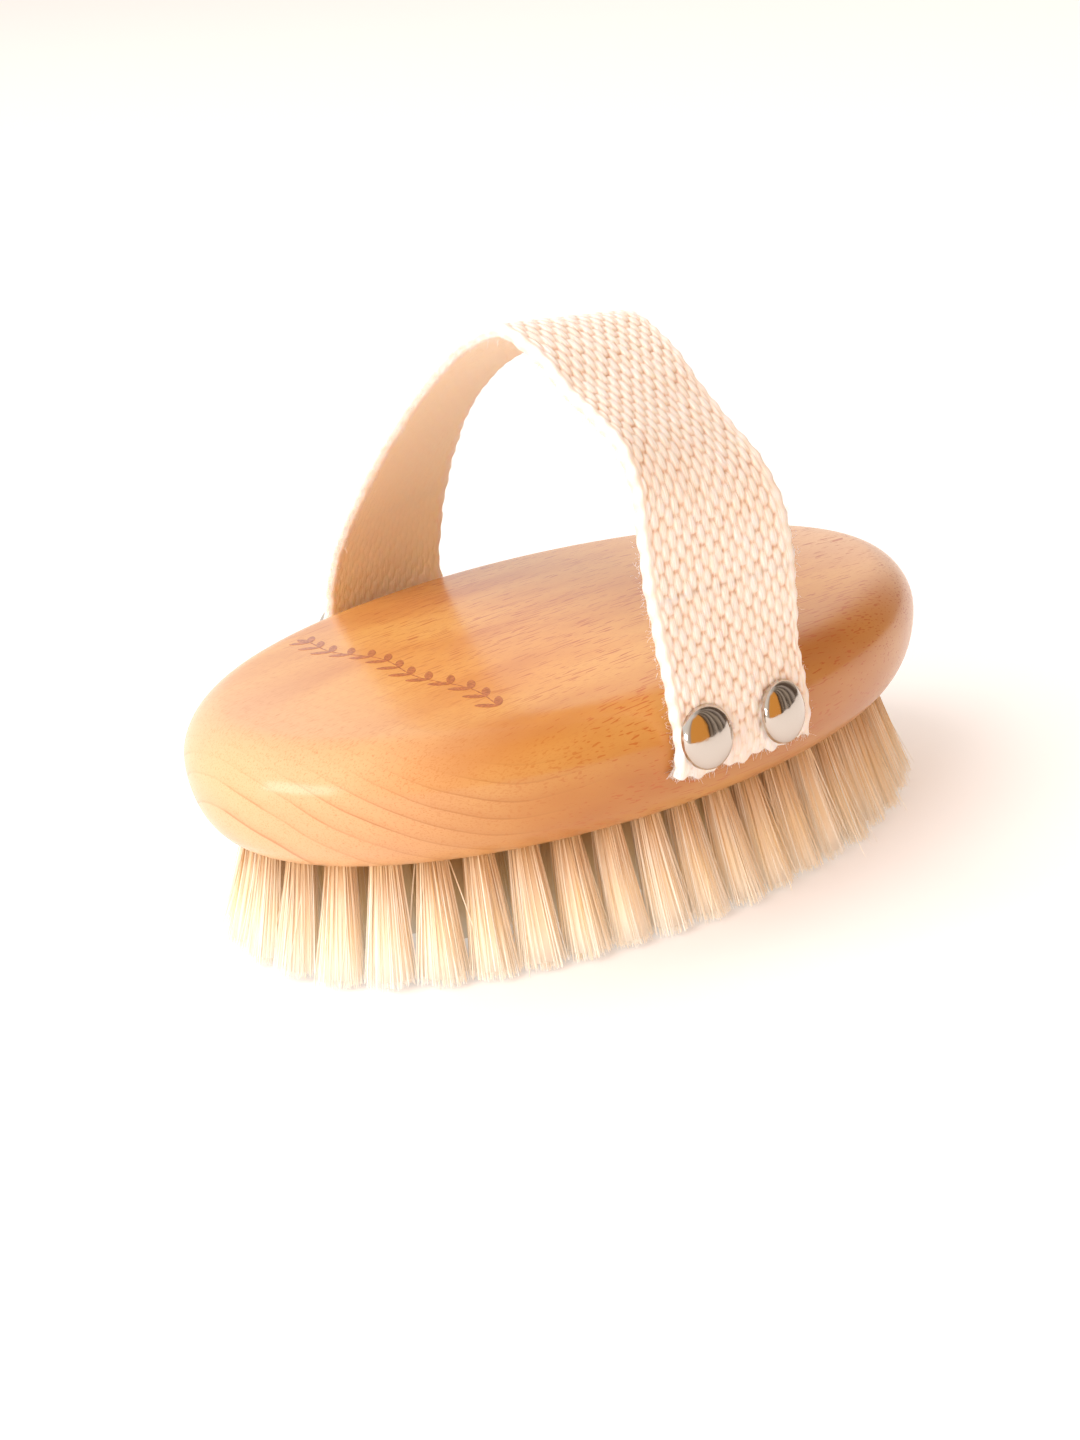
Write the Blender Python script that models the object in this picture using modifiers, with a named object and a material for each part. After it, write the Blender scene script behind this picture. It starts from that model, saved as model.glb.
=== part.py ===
"""Body dry brush: an oval wooden block set with bristle tufts, with a webbing hand strap nailed to its sides.

Lengths are in metres. The origin lies under the middle of the block, on the plane of the bristle tips.
+X runs along the block, -Y points to the strap's front end and +Z points up.
"""

import math

import bmesh
import bpy
from mathutils import Matrix, Vector

# Fits
GAP = 0.0003  # left between pieces that touch
OVERCUT = 0.002  # how far a cutter runs past the face that it cuts

# Wooden block
BLOCK_LENGTH = 0.130
BLOCK_WIDTH = 0.0815
BRISTLE_HEIGHT = 0.0178  # bristle tips to the block's flat underside
WIDEST_Z = BRISTLE_HEIGHT + 0.0112
SHOULDER_HEIGHT = 0.0070  # widest line to the shoulder
CROWN_HEIGHT = 0.0024  # extra height of the top's middle
TOP_INSET = 0.0070  # how far the upper edge rounds in
BOTTOM_INSET = 0.0072  # how far the lower edge rounds in
BLOCK_SIDES = 72
EDGE_STEPS = 5
TOP_RING_SHARES = (0.25, 0.5, 0.75)  # of the way from the shoulder to the middle

# Tufts
HOLE_RADIUS = 0.0022
HOLE_DEPTH = 0.0080
STEM_RADIUS = HOLE_RADIUS - GAP
OUTER_TUFTS = 43
OUTER_ROW_START = 0.1  # of a step past the +X end
OUTER_ROW_INSET = 0.0100  # block outline to the outer row's centreline
TUFT_PITCH = 0.0066
ROW_PITCH = 0.0070
INNER_ROWS = 7
SIDE_LEAN = 0.0058  # outward lean of a tip on the long sides
END_LEAN = 0.0034  # outward lean of a tip at the block's ends
TIP_HALF_WIDTH = 0.0031
TIP_HALF_DEPTH = 0.0027
WAIST_HALF_WIDTH = 0.0027
WAIST_HALF_DEPTH = 0.0024
WAIST_LEAN_SHARE = 0.45  # of the tip's lean, halfway up the bristles
NECK_LENGTH = 0.0010  # straight length of a tuft under its hole
COMB_HALF_WIDTH = 0.0028
COMB_END_ROUNDING = 0.0025
COMB_ROUNDING_STEPS = 3
COMB_TOP_Z = 0.0135
OUTER_SIDES = 10
INNER_SIDES = 8
OVAL_SAMPLES = 3600

# Webbing strap
STRAP_X = -0.0036  # middle of the strap along the block
STRAP_WIDTH = 0.0254
STRAP_THICKNESS = 0.0016
END_TOP_Z = 0.0385  # where the nailed ends give way to the legs
LEG_TOP_Z = 0.0690  # where the legs give way to the crown
BULGE_FADE_Z = (0.0330, 0.0450)
# Stations along the strap's middle surface: y and z of its left edge, then of its right edge.
STRAP_STATIONS = (
    (-0.0401, 0.0252, -0.0409, 0.0252),
    (-0.0408, 0.0295, -0.0415, 0.0295),
    (-0.0392, 0.0400, -0.0404, 0.0400),
    (-0.0370, 0.0510, -0.0394, 0.0505),
    (-0.0362, 0.0590, -0.0378, 0.0575),
    (-0.0357, 0.0655, -0.0348, 0.0632),
    (-0.0334, 0.0708, -0.0299, 0.0674),
    (-0.0290, 0.0742, -0.0246, 0.0719),
    (-0.0236, 0.0772, -0.0196, 0.0770),
    (-0.0176, 0.0818, -0.0148, 0.0804),
    (-0.0100, 0.0847, -0.0095, 0.0822),
    (-0.0025, 0.0823, 0.0000, 0.0802),
    (0.0050, 0.0775, 0.0100, 0.0774),
    (0.0165, 0.0675, 0.0220, 0.0720),
    (0.0280, 0.0552, 0.0332, 0.0616),
    (0.0372, 0.0425, 0.0402, 0.0475),
    (0.0408, 0.0295, 0.0415, 0.0295),
    (0.0401, 0.0252, 0.0409, 0.0252),
)
STRAP_LENGTHS = ("strap_front_end", "strap_front_leg", "strap_crown", "strap_rear_leg", "strap_rear_end")
STRAP_COLUMNS = 6
STRAP_STEP = 0.0035
CURVE_STEPS = 12  # between one station and the next

# Nails
NAIL_SPACING = 0.0147
NAIL_SHIFT = -0.0014  # middle of a pair of nails, from the strap's middle
NAIL_Z = 0.0312
NAIL_TILT = math.radians(7)
NAIL_SEAT = STRAP_THICKNESS + 3 * GAP  # wood to the underside of a nail's head
NAIL_HEAD_RADIUS = 0.0046
NAIL_DOME_HEIGHT = 0.0026
NAIL_DOME_STEPS = 5
NAIL_RIM_HEIGHT = 0.0005
NAIL_SHANK_RADIUS = 0.0009
NAIL_LENGTH = 0.0125
NAIL_POINT = 0.0025
NAIL_STEPS = 16
NAIL_MERGE = 0.0001  # joins the turned profile's ends on its axis

# Joints
LEAN_AXIS_Z = 0.0450


def clear_scene():
    for item in list(bpy.data.objects):
        bpy.data.objects.remove(item, do_unlink=True)


def add_collection(name):
    collection = bpy.data.collections.new(name)
    bpy.context.scene.collection.children.link(collection)
    return collection


def add_material(name, colour, roughness, metallic=0.0):
    material = bpy.data.materials.new(name)
    material.use_nodes = True
    shader = material.node_tree.nodes["Principled BSDF"]
    shader.inputs["Base Color"].default_value = (*colour, 1.0)
    shader.inputs["Roughness"].default_value = roughness
    shader.inputs["Metallic"].default_value = metallic
    return material


def add_object(name, shape, collection, material=None):
    """Makes an object from a bmesh, which it frees."""
    bmesh.ops.recalc_face_normals(shape, faces=shape.faces)
    mesh = bpy.data.meshes.new(name)
    shape.to_mesh(mesh)
    shape.free()
    if material:
        mesh.materials.append(material)
    item = bpy.data.objects.new(name, mesh)
    collection.objects.link(item)
    return item


def make_cutter(item):
    item.hide_render = True
    item.display_type = "WIRE"
    return item


def add_boolean(item, operation, other):
    modifier = item.modifiers.new(operation.title(), "BOOLEAN")
    modifier.operation = operation
    modifier.solver = "EXACT"
    modifier.object = other


def shade_round(item, angle=35):
    item.data.shade_smooth()
    item.data.set_sharp_from_angle(angle=math.radians(angle))


def smoothstep(low, high, value):
    share = min(max((value - low) / (high - low), 0.0), 1.0)
    return share * share * (3 - 2 * share)


def loft(rings, sides):
    """A closed shape through level oval rings, each given as (centre, half_x, half_y, heading)."""
    shape = bmesh.new()
    previous = []
    for index, (centre, half_x, half_y, heading) in enumerate(rings):
        place = Matrix.Translation(centre) @ Matrix.Rotation(heading, 4, "Z")
        place = place @ Matrix.Diagonal((half_x, half_y, 1, 1))
        is_end = index in (0, len(rings) - 1)
        ring = bmesh.ops.create_circle(shape, cap_ends=is_end, segments=sides, radius=1, matrix=place)
        edges = list({edge for vertex in ring["verts"] for edge in vertex.link_edges})
        if previous:
            bmesh.ops.bridge_loops(shape, edges=previous + edges)
        previous = edges
    return shape


# ---------------------------------------------------------------- wooden block


def block_profile():
    """(inset, height) from the rim of the underside, round the bull-nosed edge, to the crowned middle."""
    half_width = BLOCK_WIDTH / 2
    points = []
    for step in range(EDGE_STEPS):
        turn = math.pi / 2 * step / EDGE_STEPS
        inset = BOTTOM_INSET * (1 - math.sin(turn))
        points.append((inset, WIDEST_Z - (WIDEST_Z - BRISTLE_HEIGHT) * math.cos(turn)))
    for step in range(EDGE_STEPS + 1):
        turn = math.pi / 2 * step / EDGE_STEPS
        inset = TOP_INSET * (1 - math.cos(turn))
        points.append((inset, WIDEST_Z + SHOULDER_HEIGHT * math.sin(turn)))
    for share in TOP_RING_SHARES:
        points.append((TOP_INSET + share * (half_width - TOP_INSET), WIDEST_Z + SHOULDER_HEIGHT))
    crowned = []
    for inset, height in points:
        above = smoothstep(WIDEST_Z, WIDEST_Z + SHOULDER_HEIGHT, height)
        crown = CROWN_HEIGHT * (1 - (1 - inset / half_width) ** 2)
        crowned.append((inset, height + crown * above))
    return crowned


def make_block(collection, material, drills):
    rings = []
    for inset, height in block_profile():
        half_y = BLOCK_WIDTH / 2 - inset
        half_x = BLOCK_LENGTH / 2 - inset
        if inset > TOP_INSET + GAP and height > WIDEST_Z:
            half_x = (BLOCK_LENGTH / 2 - TOP_INSET) * half_y / (BLOCK_WIDTH / 2 - TOP_INSET)
        rings.append(((0, 0, height), half_x, half_y, 0))
    block = add_object("wood_block", loft(rings, BLOCK_SIDES), collection, material)
    shade_round(block)
    for drill in drills:
        add_boolean(block, "DIFFERENCE", drill)
    return block


# ---------------------------------------------------------------- tufts


def outer_row_places():
    """(x, y, outward normal) of each outer tuft, at equal steps along the oval."""
    half_x = BLOCK_LENGTH / 2 - OUTER_ROW_INSET
    half_y = BLOCK_WIDTH / 2 - OUTER_ROW_INSET
    turns = [2 * math.pi * index / OVAL_SAMPLES for index in range(OVAL_SAMPLES + 1)]
    points = [Vector((half_x * math.cos(turn), half_y * math.sin(turn))) for turn in turns]
    travelled = [0.0]
    for first, second in zip(points, points[1:]):
        travelled.append(travelled[-1] + (second - first).length)
    step = travelled[-1] / OUTER_TUFTS
    places = []
    for turn, point, distance in zip(turns, points, travelled):
        if len(places) < OUTER_TUFTS and distance >= (len(places) + OUTER_ROW_START) * step:
            normal = Vector((half_y * math.cos(turn), half_x * math.sin(turn))).normalized()
            places.append((point.x, point.y, normal))
    return places


def inner_row_places():
    """The rows of tuft places inside the outer row, each a list of (x, y)."""
    half_x = BLOCK_LENGTH / 2 - OUTER_ROW_INSET - TUFT_PITCH
    half_y = BLOCK_WIDTH / 2 - OUTER_ROW_INSET - TUFT_PITCH
    rows = []
    for row in range(INNER_ROWS):
        y = (row - (INNER_ROWS - 1) / 2) * ROW_PITCH
        reach = half_x * math.sqrt(1 - (y / half_y) ** 2)
        count = int(2 * reach / TUFT_PITCH) + 1
        rows.append([((index - (count - 1) / 2) * TUFT_PITCH, y) for index in range(count)])
    return rows


def add_posts(shape, places, radius, low, high, sides):
    """Adds an upright round post at each (x, y) to a bmesh."""
    for x, y in places:
        middle = Matrix.Translation((x, y, (low + high) / 2))
        bmesh.ops.create_cone(
            shape,
            cap_ends=True,
            segments=sides,
            radius1=radius,
            radius2=radius,
            depth=high - low,
            matrix=middle,
        )


def make_tuft_drills(cutters, outer_places, inner_rows):
    """Cutters for the blind holes that the tufts are set in."""
    shape = bmesh.new()
    low = BRISTLE_HEIGHT - OVERCUT
    high = BRISTLE_HEIGHT + HOLE_DEPTH
    add_posts(shape, [(x, y) for x, y, _ in outer_places], HOLE_RADIUS, low, high, OUTER_SIDES)
    for row in inner_rows:
        add_posts(shape, row, HOLE_RADIUS, low, high, INNER_SIDES)
    return make_cutter(add_object("tuft_drills", shape, cutters))


def make_outer_tufts(collection, material, places):
    """One solid for each outer tuft: a stem in its hole that splays outwards to the tips."""
    stem_top = BRISTLE_HEIGHT + HOLE_DEPTH - GAP
    for number, (x, y, normal) in enumerate(places, start=1):
        lean = normal * (END_LEAN + (SIDE_LEAN - END_LEAN) * abs(normal.y))
        heading = math.atan2(normal.y, normal.x)
        rings = []
        for height, share, half_depth, half_width in (
            (0, 1, TIP_HALF_DEPTH, TIP_HALF_WIDTH),
            (BRISTLE_HEIGHT / 2, WAIST_LEAN_SHARE, WAIST_HALF_DEPTH, WAIST_HALF_WIDTH),
            (BRISTLE_HEIGHT - NECK_LENGTH, 0, STEM_RADIUS, STEM_RADIUS),
            (stem_top, 0, STEM_RADIUS, STEM_RADIUS),
        ):
            centre = Vector((x + lean.x * share, y + lean.y * share, height))
            rings.append((centre, half_depth, half_width, heading))
        tuft = add_object(f"outer_tuft_{number:02d}", loft(rings, OUTER_SIDES), collection, material)
        shade_round(tuft, 50)


def make_inner_rows(collection, cutters, material, rows):
    """One solid for each inner row: round stems in their holes that run together at the tips."""
    for number, row in enumerate(rows, start=1):
        first, last = row[0][0], row[-1][0]
        size = (last - first + 2 * COMB_HALF_WIDTH, 2 * COMB_HALF_WIDTH, COMB_TOP_Z)
        place = Matrix.Translation((0, row[0][1], COMB_TOP_Z / 2)) @ Matrix.Diagonal((*size, 1))
        shape = bmesh.new()
        bmesh.ops.create_cube(shape, size=1, matrix=place)
        upright = [edge for edge in shape.edges if abs(edge.verts[0].co.z - edge.verts[1].co.z) > GAP]
        bmesh.ops.bevel(
            shape,
            geom=upright,
            offset=COMB_END_ROUNDING,
            segments=COMB_ROUNDING_STEPS,
            profile=0.5,
            affect="EDGES",
        )
        comb = add_object(f"inner_tuft_row_{number}", shape, collection, material)
        stems = bmesh.new()
        low = COMB_TOP_Z - OVERCUT
        add_posts(stems, row, STEM_RADIUS, low, BRISTLE_HEIGHT + HOLE_DEPTH - GAP, INNER_SIDES)
        stem_object = make_cutter(add_object(f"stems_of_row_{number}", stems, cutters))
        add_boolean(comb, "UNION", stem_object)
        shade_round(comb)


# ---------------------------------------------------------------- strap


def strap_edge_curve(column):
    """A smooth curve through the stations of one edge: 0 for the left edge, 2 for the right one."""
    knots = [Vector((station[column], station[column + 1])) for station in STRAP_STATIONS]
    knots = [2 * knots[0] - knots[1], *knots, 2 * knots[-1] - knots[-2]]
    curve = []
    for index in range(1, len(knots) - 2):
        before, start, end, after = knots[index - 1 : index + 3]
        for step in range(CURVE_STEPS):
            t = step / CURVE_STEPS
            curve.append(
                0.5
                * (
                    2 * start
                    + (end - before) * t
                    + (2 * before - 5 * start + 4 * end - after) * t * t
                    + (3 * start - before - 3 * end + after) * t * t * t
                )
            )
    curve.append(knots[-2])
    return curve


def strap_point(left, right, across):
    """A point of the strap's middle surface, with across from -1 at the left edge to 1 at the right edge."""
    y, z = left.lerp(right, (across + 1) / 2)
    outline_radius = (BLOCK_LENGTH / 2) ** 2 / (BLOCK_WIDTH / 2)
    bulge = (STRAP_WIDTH / 2) ** 2 / (2 * outline_radius) * (1 - across * across)
    y += math.copysign(bulge * (1 - smoothstep(*BULGE_FADE_Z, z)), y)
    return Vector((STRAP_X + across * STRAP_WIDTH / 2, y, z))


def make_strap_part(name, pairs, collection, material):
    """One length of webbing: a grid laid between the two edges' points, thickened both ways."""
    shape = bmesh.new()
    rows = len(pairs) - 1
    place = Matrix.Diagonal((1, rows / 2, 1, 1))
    bmesh.ops.create_grid(shape, x_segments=STRAP_COLUMNS, y_segments=rows, size=1, matrix=place)
    for vertex in shape.verts:
        left, right = pairs[round(vertex.co.y + rows / 2)]
        vertex.co = strap_point(left, right, vertex.co.x)
    part = add_object(name, shape, collection, material)
    thickness = part.modifiers.new("Webbing thickness", "SOLIDIFY")
    thickness.thickness = STRAP_THICKNESS
    thickness.offset = 0
    thickness.use_even_offset = True
    shade_round(part)
    return part


def split_strap():
    """The pairs of edge points of each length of webbing, in order from the front end to the rear end."""
    pairs = list(zip(strap_edge_curve(0), strap_edge_curve(2)))
    middle = [(left + right) / 2 for left, right in pairs]
    lengths = {name: [] for name in STRAP_LENGTHS}
    last_kept = None
    for pair, point in zip(pairs, middle):
        side = "front" if point.x < 0 else "rear"
        if point.y < END_TOP_Z:
            name = f"strap_{side}_end"
        elif point.y < LEG_TOP_Z:
            name = f"strap_{side}_leg"
        else:
            name = "strap_crown"
        is_first = not lengths[name]
        if is_first or (point - last_kept).length > STRAP_STEP:
            lengths[name].append(pair)
            last_kept = point
    return lengths


def close_lengths(lengths):
    """Makes each length reach to within a gap of the next one."""
    names = list(lengths)
    for name, following in zip(names, names[1:]):
        last, first = lengths[name][-1], lengths[following][0]
        joined = []
        for end, start in zip(last, first):
            joined.append(start - (start - end).normalized() * GAP)
        if (last[0] - first[0]).length < STRAP_STEP / 2:
            lengths[name].pop()
        lengths[name].append(tuple(joined))
    return lengths


def make_strap(collection, material):
    parts = {}
    for name, pairs in close_lengths(split_strap()).items():
        parts[name] = make_strap_part(name, pairs, collection, material)
    return parts


# ---------------------------------------------------------------- nails


def nail_places():
    """The name and the matrix of each nail: its local +Z points out of the wood, from the head's seat."""
    places = {}
    for side, sign in (("front", -1), ("rear", 1)):
        for hand, offset in (("left", -0.5), ("right", 0.5)):
            x = STRAP_X + NAIL_SHIFT + offset * NAIL_SPACING
            half_x, half_y = BLOCK_LENGTH / 2, BLOCK_WIDTH / 2
            y = sign * half_y * math.sqrt(1 - (x / half_x) ** 2)
            outward = Vector((x / half_x**2, y / half_y**2, 0)).normalized()
            outward.z = math.tan(NAIL_TILT)
            outward.normalize()
            seat = Vector((x, y, NAIL_Z)) + outward * NAIL_SEAT
            turn = outward.to_track_quat("Z", "Y").to_matrix().to_4x4()
            places[f"{side}_{hand}_nail"] = Matrix.Translation(seat) @ turn
    return places


def nail_profile():
    """(radius, height) down the outer side, from the middle of the dome to the point."""
    points = []
    for step in range(NAIL_DOME_STEPS + 1):
        turn = math.pi / 2 * step / NAIL_DOME_STEPS
        height = NAIL_RIM_HEIGHT + (NAIL_DOME_HEIGHT - NAIL_RIM_HEIGHT) * math.cos(turn)
        points.append((NAIL_HEAD_RADIUS * math.sin(turn), height))
    points.append((NAIL_HEAD_RADIUS, 0))
    points.append((NAIL_SHANK_RADIUS, 0))
    points.append((NAIL_SHANK_RADIUS, NAIL_POINT - NAIL_LENGTH))
    points.append((0, -NAIL_LENGTH))
    return points


def make_nails(collection, material, places):
    for name, place in places.items():
        shape = bmesh.new()
        vertices = [shape.verts.new((radius, 0, height)) for radius, height in nail_profile()]
        for first, second in zip(vertices, vertices[1:]):
            shape.edges.new((first, second))
        nail = add_object(name, shape, collection, material)
        turning = nail.modifiers.new("Turned", "SCREW")
        turning.steps = NAIL_STEPS
        turning.render_steps = NAIL_STEPS
        turning.use_merge_vertices = True
        turning.merge_threshold = NAIL_MERGE
        turning.use_smooth_shade = True
        nail.matrix_world = place


def make_nail_drills(cutters, places):
    """Cutters for the nails' way through the webbing and into the wood."""
    shape = bmesh.new()
    radius = NAIL_SHANK_RADIUS + GAP
    length = NAIL_LENGTH + GAP + OVERCUT
    for place in places.values():
        middle = place @ Matrix.Translation((0, 0, OVERCUT - length / 2))
        bmesh.ops.create_cone(
            shape,
            cap_ends=True,
            segments=INNER_SIDES,
            radius1=radius,
            radius2=radius,
            depth=length,
            matrix=middle,
        )
    return make_cutter(add_object("nail_drills", shape, cutters))


# ---------------------------------------------------------------- assembly


def add_joint_empty(name, location, collection):
    empty = bpy.data.objects.new(name, None)
    empty.empty_display_size = 0.01
    empty.location = location
    collection.objects.link(empty)
    return empty


def parent_in_place(item, parent):
    item.parent = parent
    item.matrix_parent_inverse = parent.matrix_world.inverted()


def main():
    clear_scene()
    parts = add_collection("body_dry_brush")
    cutters = add_collection("cutters")

    wood = add_material("lacquered_beech", (0.86, 0.38, 0.13), 0.3)
    bristle = add_material("cream_bristle", (0.87, 0.73, 0.50), 0.55)
    cotton = add_material("cotton_webbing", (0.93, 0.80, 0.66), 0.9)
    nickel = add_material("nickel_plate", (0.72, 0.66, 0.58), 0.15, metallic=1.0)

    outer_places = outer_row_places()
    inner_rows = inner_row_places()
    nails = nail_places()
    tuft_drills = make_tuft_drills(cutters, outer_places, inner_rows)
    nail_drills = make_nail_drills(cutters, nails)

    make_block(parts, wood, [tuft_drills, nail_drills])
    make_outer_tufts(parts, bristle, outer_places)
    make_inner_rows(parts, cutters, bristle, inner_rows)
    make_nails(parts, nickel, nails)
    strap = make_strap(parts, cotton)
    for end in ("strap_front_end", "strap_rear_end"):
        add_boolean(strap[end], "DIFFERENCE", nail_drills)

    lean_axis = add_joint_empty("strap_lean_axis", (STRAP_X, 0, LEAN_AXIS_Z), parts)
    press_axis = add_joint_empty("strap_press_axis", (STRAP_X, 0, LEG_TOP_Z), parts)
    bpy.context.view_layer.update()
    for leg in ("strap_front_leg", "strap_rear_leg"):
        parent_in_place(strap[leg], lean_axis)
    parent_in_place(press_axis, lean_axis)
    parent_in_place(strap["strap_crown"], press_axis)


main()
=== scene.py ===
"""Oval body dry brush on a pale floor: a lacquered beech block, tufts of natural bristle, a cotton webbing
hand strap and the four dome-head nails that hold it. Lengths are in metres. +X runs along the block, -Y faces
the strap's front end and +Z is up."""

import math

import bmesh
import bpy
import numpy as np
from bpy.props import FloatProperty, FloatVectorProperty, IntProperty, PointerProperty
from mathutils import Matrix, Vector


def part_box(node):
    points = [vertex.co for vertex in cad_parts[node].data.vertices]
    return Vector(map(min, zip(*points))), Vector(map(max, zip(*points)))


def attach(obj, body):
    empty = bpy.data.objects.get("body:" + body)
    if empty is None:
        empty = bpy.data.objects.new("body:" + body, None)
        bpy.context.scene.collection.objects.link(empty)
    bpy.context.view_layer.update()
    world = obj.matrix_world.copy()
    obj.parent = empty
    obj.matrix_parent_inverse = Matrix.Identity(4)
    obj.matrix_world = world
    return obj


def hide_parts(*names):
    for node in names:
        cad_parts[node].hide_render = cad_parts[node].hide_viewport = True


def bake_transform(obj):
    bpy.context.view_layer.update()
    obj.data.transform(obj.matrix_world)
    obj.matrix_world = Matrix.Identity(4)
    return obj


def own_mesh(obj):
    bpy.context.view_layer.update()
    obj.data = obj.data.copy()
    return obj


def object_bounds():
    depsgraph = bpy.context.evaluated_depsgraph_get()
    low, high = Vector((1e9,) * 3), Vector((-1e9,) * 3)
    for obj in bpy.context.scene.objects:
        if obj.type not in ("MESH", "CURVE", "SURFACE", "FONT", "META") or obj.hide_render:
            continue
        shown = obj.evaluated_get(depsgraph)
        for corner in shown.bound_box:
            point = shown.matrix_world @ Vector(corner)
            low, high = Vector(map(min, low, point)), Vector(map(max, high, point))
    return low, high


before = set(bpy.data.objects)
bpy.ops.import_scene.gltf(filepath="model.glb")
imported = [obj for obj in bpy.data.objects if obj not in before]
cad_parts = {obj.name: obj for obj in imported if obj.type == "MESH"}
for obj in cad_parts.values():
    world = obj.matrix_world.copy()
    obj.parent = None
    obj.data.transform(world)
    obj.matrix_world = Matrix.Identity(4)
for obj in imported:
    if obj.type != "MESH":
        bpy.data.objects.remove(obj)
CAD_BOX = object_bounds()
BLOCK_LOW, BLOCK_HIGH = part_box("wood_block")
END_LOW, END_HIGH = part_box("strap_front_end")

bl_info = {
    "name": "Body Dry Brush",
    "version": (1, 0, 0),
    "blender": (4, 5, 0),
    "location": "View3D > Sidebar > Brush",
    "description": "Builds an oval body dry brush piece by piece around its CAD frame",
    "category": "Object",
}

MM = 0.001
OUTER_TUFTS = sorted(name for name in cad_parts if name.startswith("outer_tuft_"))
INNER_ROWS = sorted(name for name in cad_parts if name.startswith("inner_tuft_row_"))
NAILS = ["front_left_nail", "front_right_nail", "rear_left_nail", "rear_right_nail"]

# Stations along the strap's middle surface, as in the CAD: y and z of its left edge, then of its right edge.
STRAP_STATIONS = (
    (-0.0401, 0.0252, -0.0409, 0.0252),
    (-0.0408, 0.0295, -0.0415, 0.0295),
    (-0.0392, 0.0400, -0.0404, 0.0400),
    (-0.0370, 0.0510, -0.0394, 0.0505),
    (-0.0362, 0.0590, -0.0378, 0.0575),
    (-0.0357, 0.0655, -0.0348, 0.0632),
    (-0.0334, 0.0708, -0.0299, 0.0674),
    (-0.0290, 0.0742, -0.0246, 0.0719),
    (-0.0236, 0.0772, -0.0196, 0.0770),
    (-0.0176, 0.0818, -0.0148, 0.0804),
    (-0.0100, 0.0847, -0.0095, 0.0822),
    (-0.0025, 0.0823, 0.0000, 0.0802),
    (0.0050, 0.0775, 0.0100, 0.0774),
    (0.0165, 0.0675, 0.0220, 0.0720),
    (0.0280, 0.0552, 0.0332, 0.0616),
    (0.0372, 0.0425, 0.0402, 0.0475),
    (0.0408, 0.0295, 0.0415, 0.0295),
    (0.0401, 0.0252, 0.0409, 0.0252),
)


# ---------------------------------------------------------------- settings


class BlockSettings(bpy.types.PropertyGroup):
    sides: IntProperty(name="Sides", description="Steps round the block's outline", default=224, min=32)
    edge_steps: IntProperty(
        name="Edge steps", description="Steps round each half of the edge", default=14, min=4
    )
    top_inset: FloatProperty(
        name="Top rounding", description="How far the upper edge rounds in", default=0.0070, unit="LENGTH"
    )
    bottom_inset: FloatProperty(
        name="Bottom rounding", description="How far the lower edge rounds in", default=0.0072, unit="LENGTH"
    )
    widest_height: FloatProperty(
        name="Widest line",
        description="Height of the widest line above the underside",
        default=0.0112,
        unit="LENGTH",
    )
    crown: FloatProperty(
        name="Crown", description="Extra height of the top's middle", default=0.0024, unit="LENGTH"
    )
    hole_radius: FloatProperty(
        name="Hole radius", description="Radius of each tuft's drilled hole", default=0.0022, unit="LENGTH"
    )
    hole_depth: FloatProperty(
        name="Hole depth", description="Depth of each tuft's drilled hole", default=0.0080, unit="LENGTH"
    )


class StrapSettings(bpy.types.PropertyGroup):
    width: FloatProperty(name="Width", description="Width of the webbing", default=0.0254, unit="LENGTH")
    thickness: FloatProperty(
        name="Thickness",
        description="Thickness of the webbing without its weave",
        default=0.0013,
        unit="LENGTH",
    )
    warp_spacing: FloatProperty(
        name="Warp spacing",
        description="Distance between warp yarns that rise together",
        default=0.0025,
        unit="LENGTH",
    )
    weft_spacing: FloatProperty(
        name="Weft spacing", description="Distance between weft rows", default=0.00148, unit="LENGTH"
    )
    relief: FloatProperty(
        name="Relief", description="How far a warp float stands proud", default=0.0005, unit="LENGTH"
    )
    seam_height: FloatProperty(
        name="Bend height",
        description="Height at which the legs give way to the arch",
        default=0.050,
        unit="LENGTH",
    )


class GarlandSettings(bpy.types.PropertyGroup):
    place: FloatProperty(
        name="Place", description="Where the garland crosses the block", default=-0.0318, unit="LENGTH"
    )
    length: FloatProperty(name="Length", description="Length of the garland", default=0.046, unit="LENGTH")
    leaf_length: FloatProperty(
        name="Leaf length", description="Length of one leaf", default=0.0034, unit="LENGTH"
    )
    stem_width: FloatProperty(
        name="Stem width", description="Width of the stem", default=0.0006, unit="LENGTH"
    )
    pairs: IntProperty(name="Pairs", description="Pairs of leaves", default=13, min=2)


class NailSettings(bpy.types.PropertyGroup):
    head_radius: FloatProperty(
        name="Head radius", description="Radius of the dome head", default=0.0046, unit="LENGTH"
    )
    dome_height: FloatProperty(
        name="Dome height", description="Height of the dome head", default=0.0026, unit="LENGTH"
    )
    shank_radius: FloatProperty(
        name="Shank radius", description="Radius of the nail's shank", default=0.0009, unit="LENGTH"
    )
    steps: IntProperty(name="Steps", description="Steps round the head", default=64, min=12)


class TuftSettings(bpy.types.PropertyGroup):
    outer_strands: IntProperty(
        name="Outer strands", description="Bristles in each tuft of the outer row", default=330, min=10
    )
    inner_strands: IntProperty(
        name="Inner strands", description="Bristles in each tuft of the inner rows", default=170, min=10
    )
    strand_radius: FloatProperty(
        name="Bristle radius", description="Radius of one bristle at its root", default=0.00011, unit="LENGTH"
    )
    uneven: FloatProperty(
        name="Uneven cut", description="How much the bristles differ in length", default=0.0011, unit="LENGTH"
    )


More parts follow.
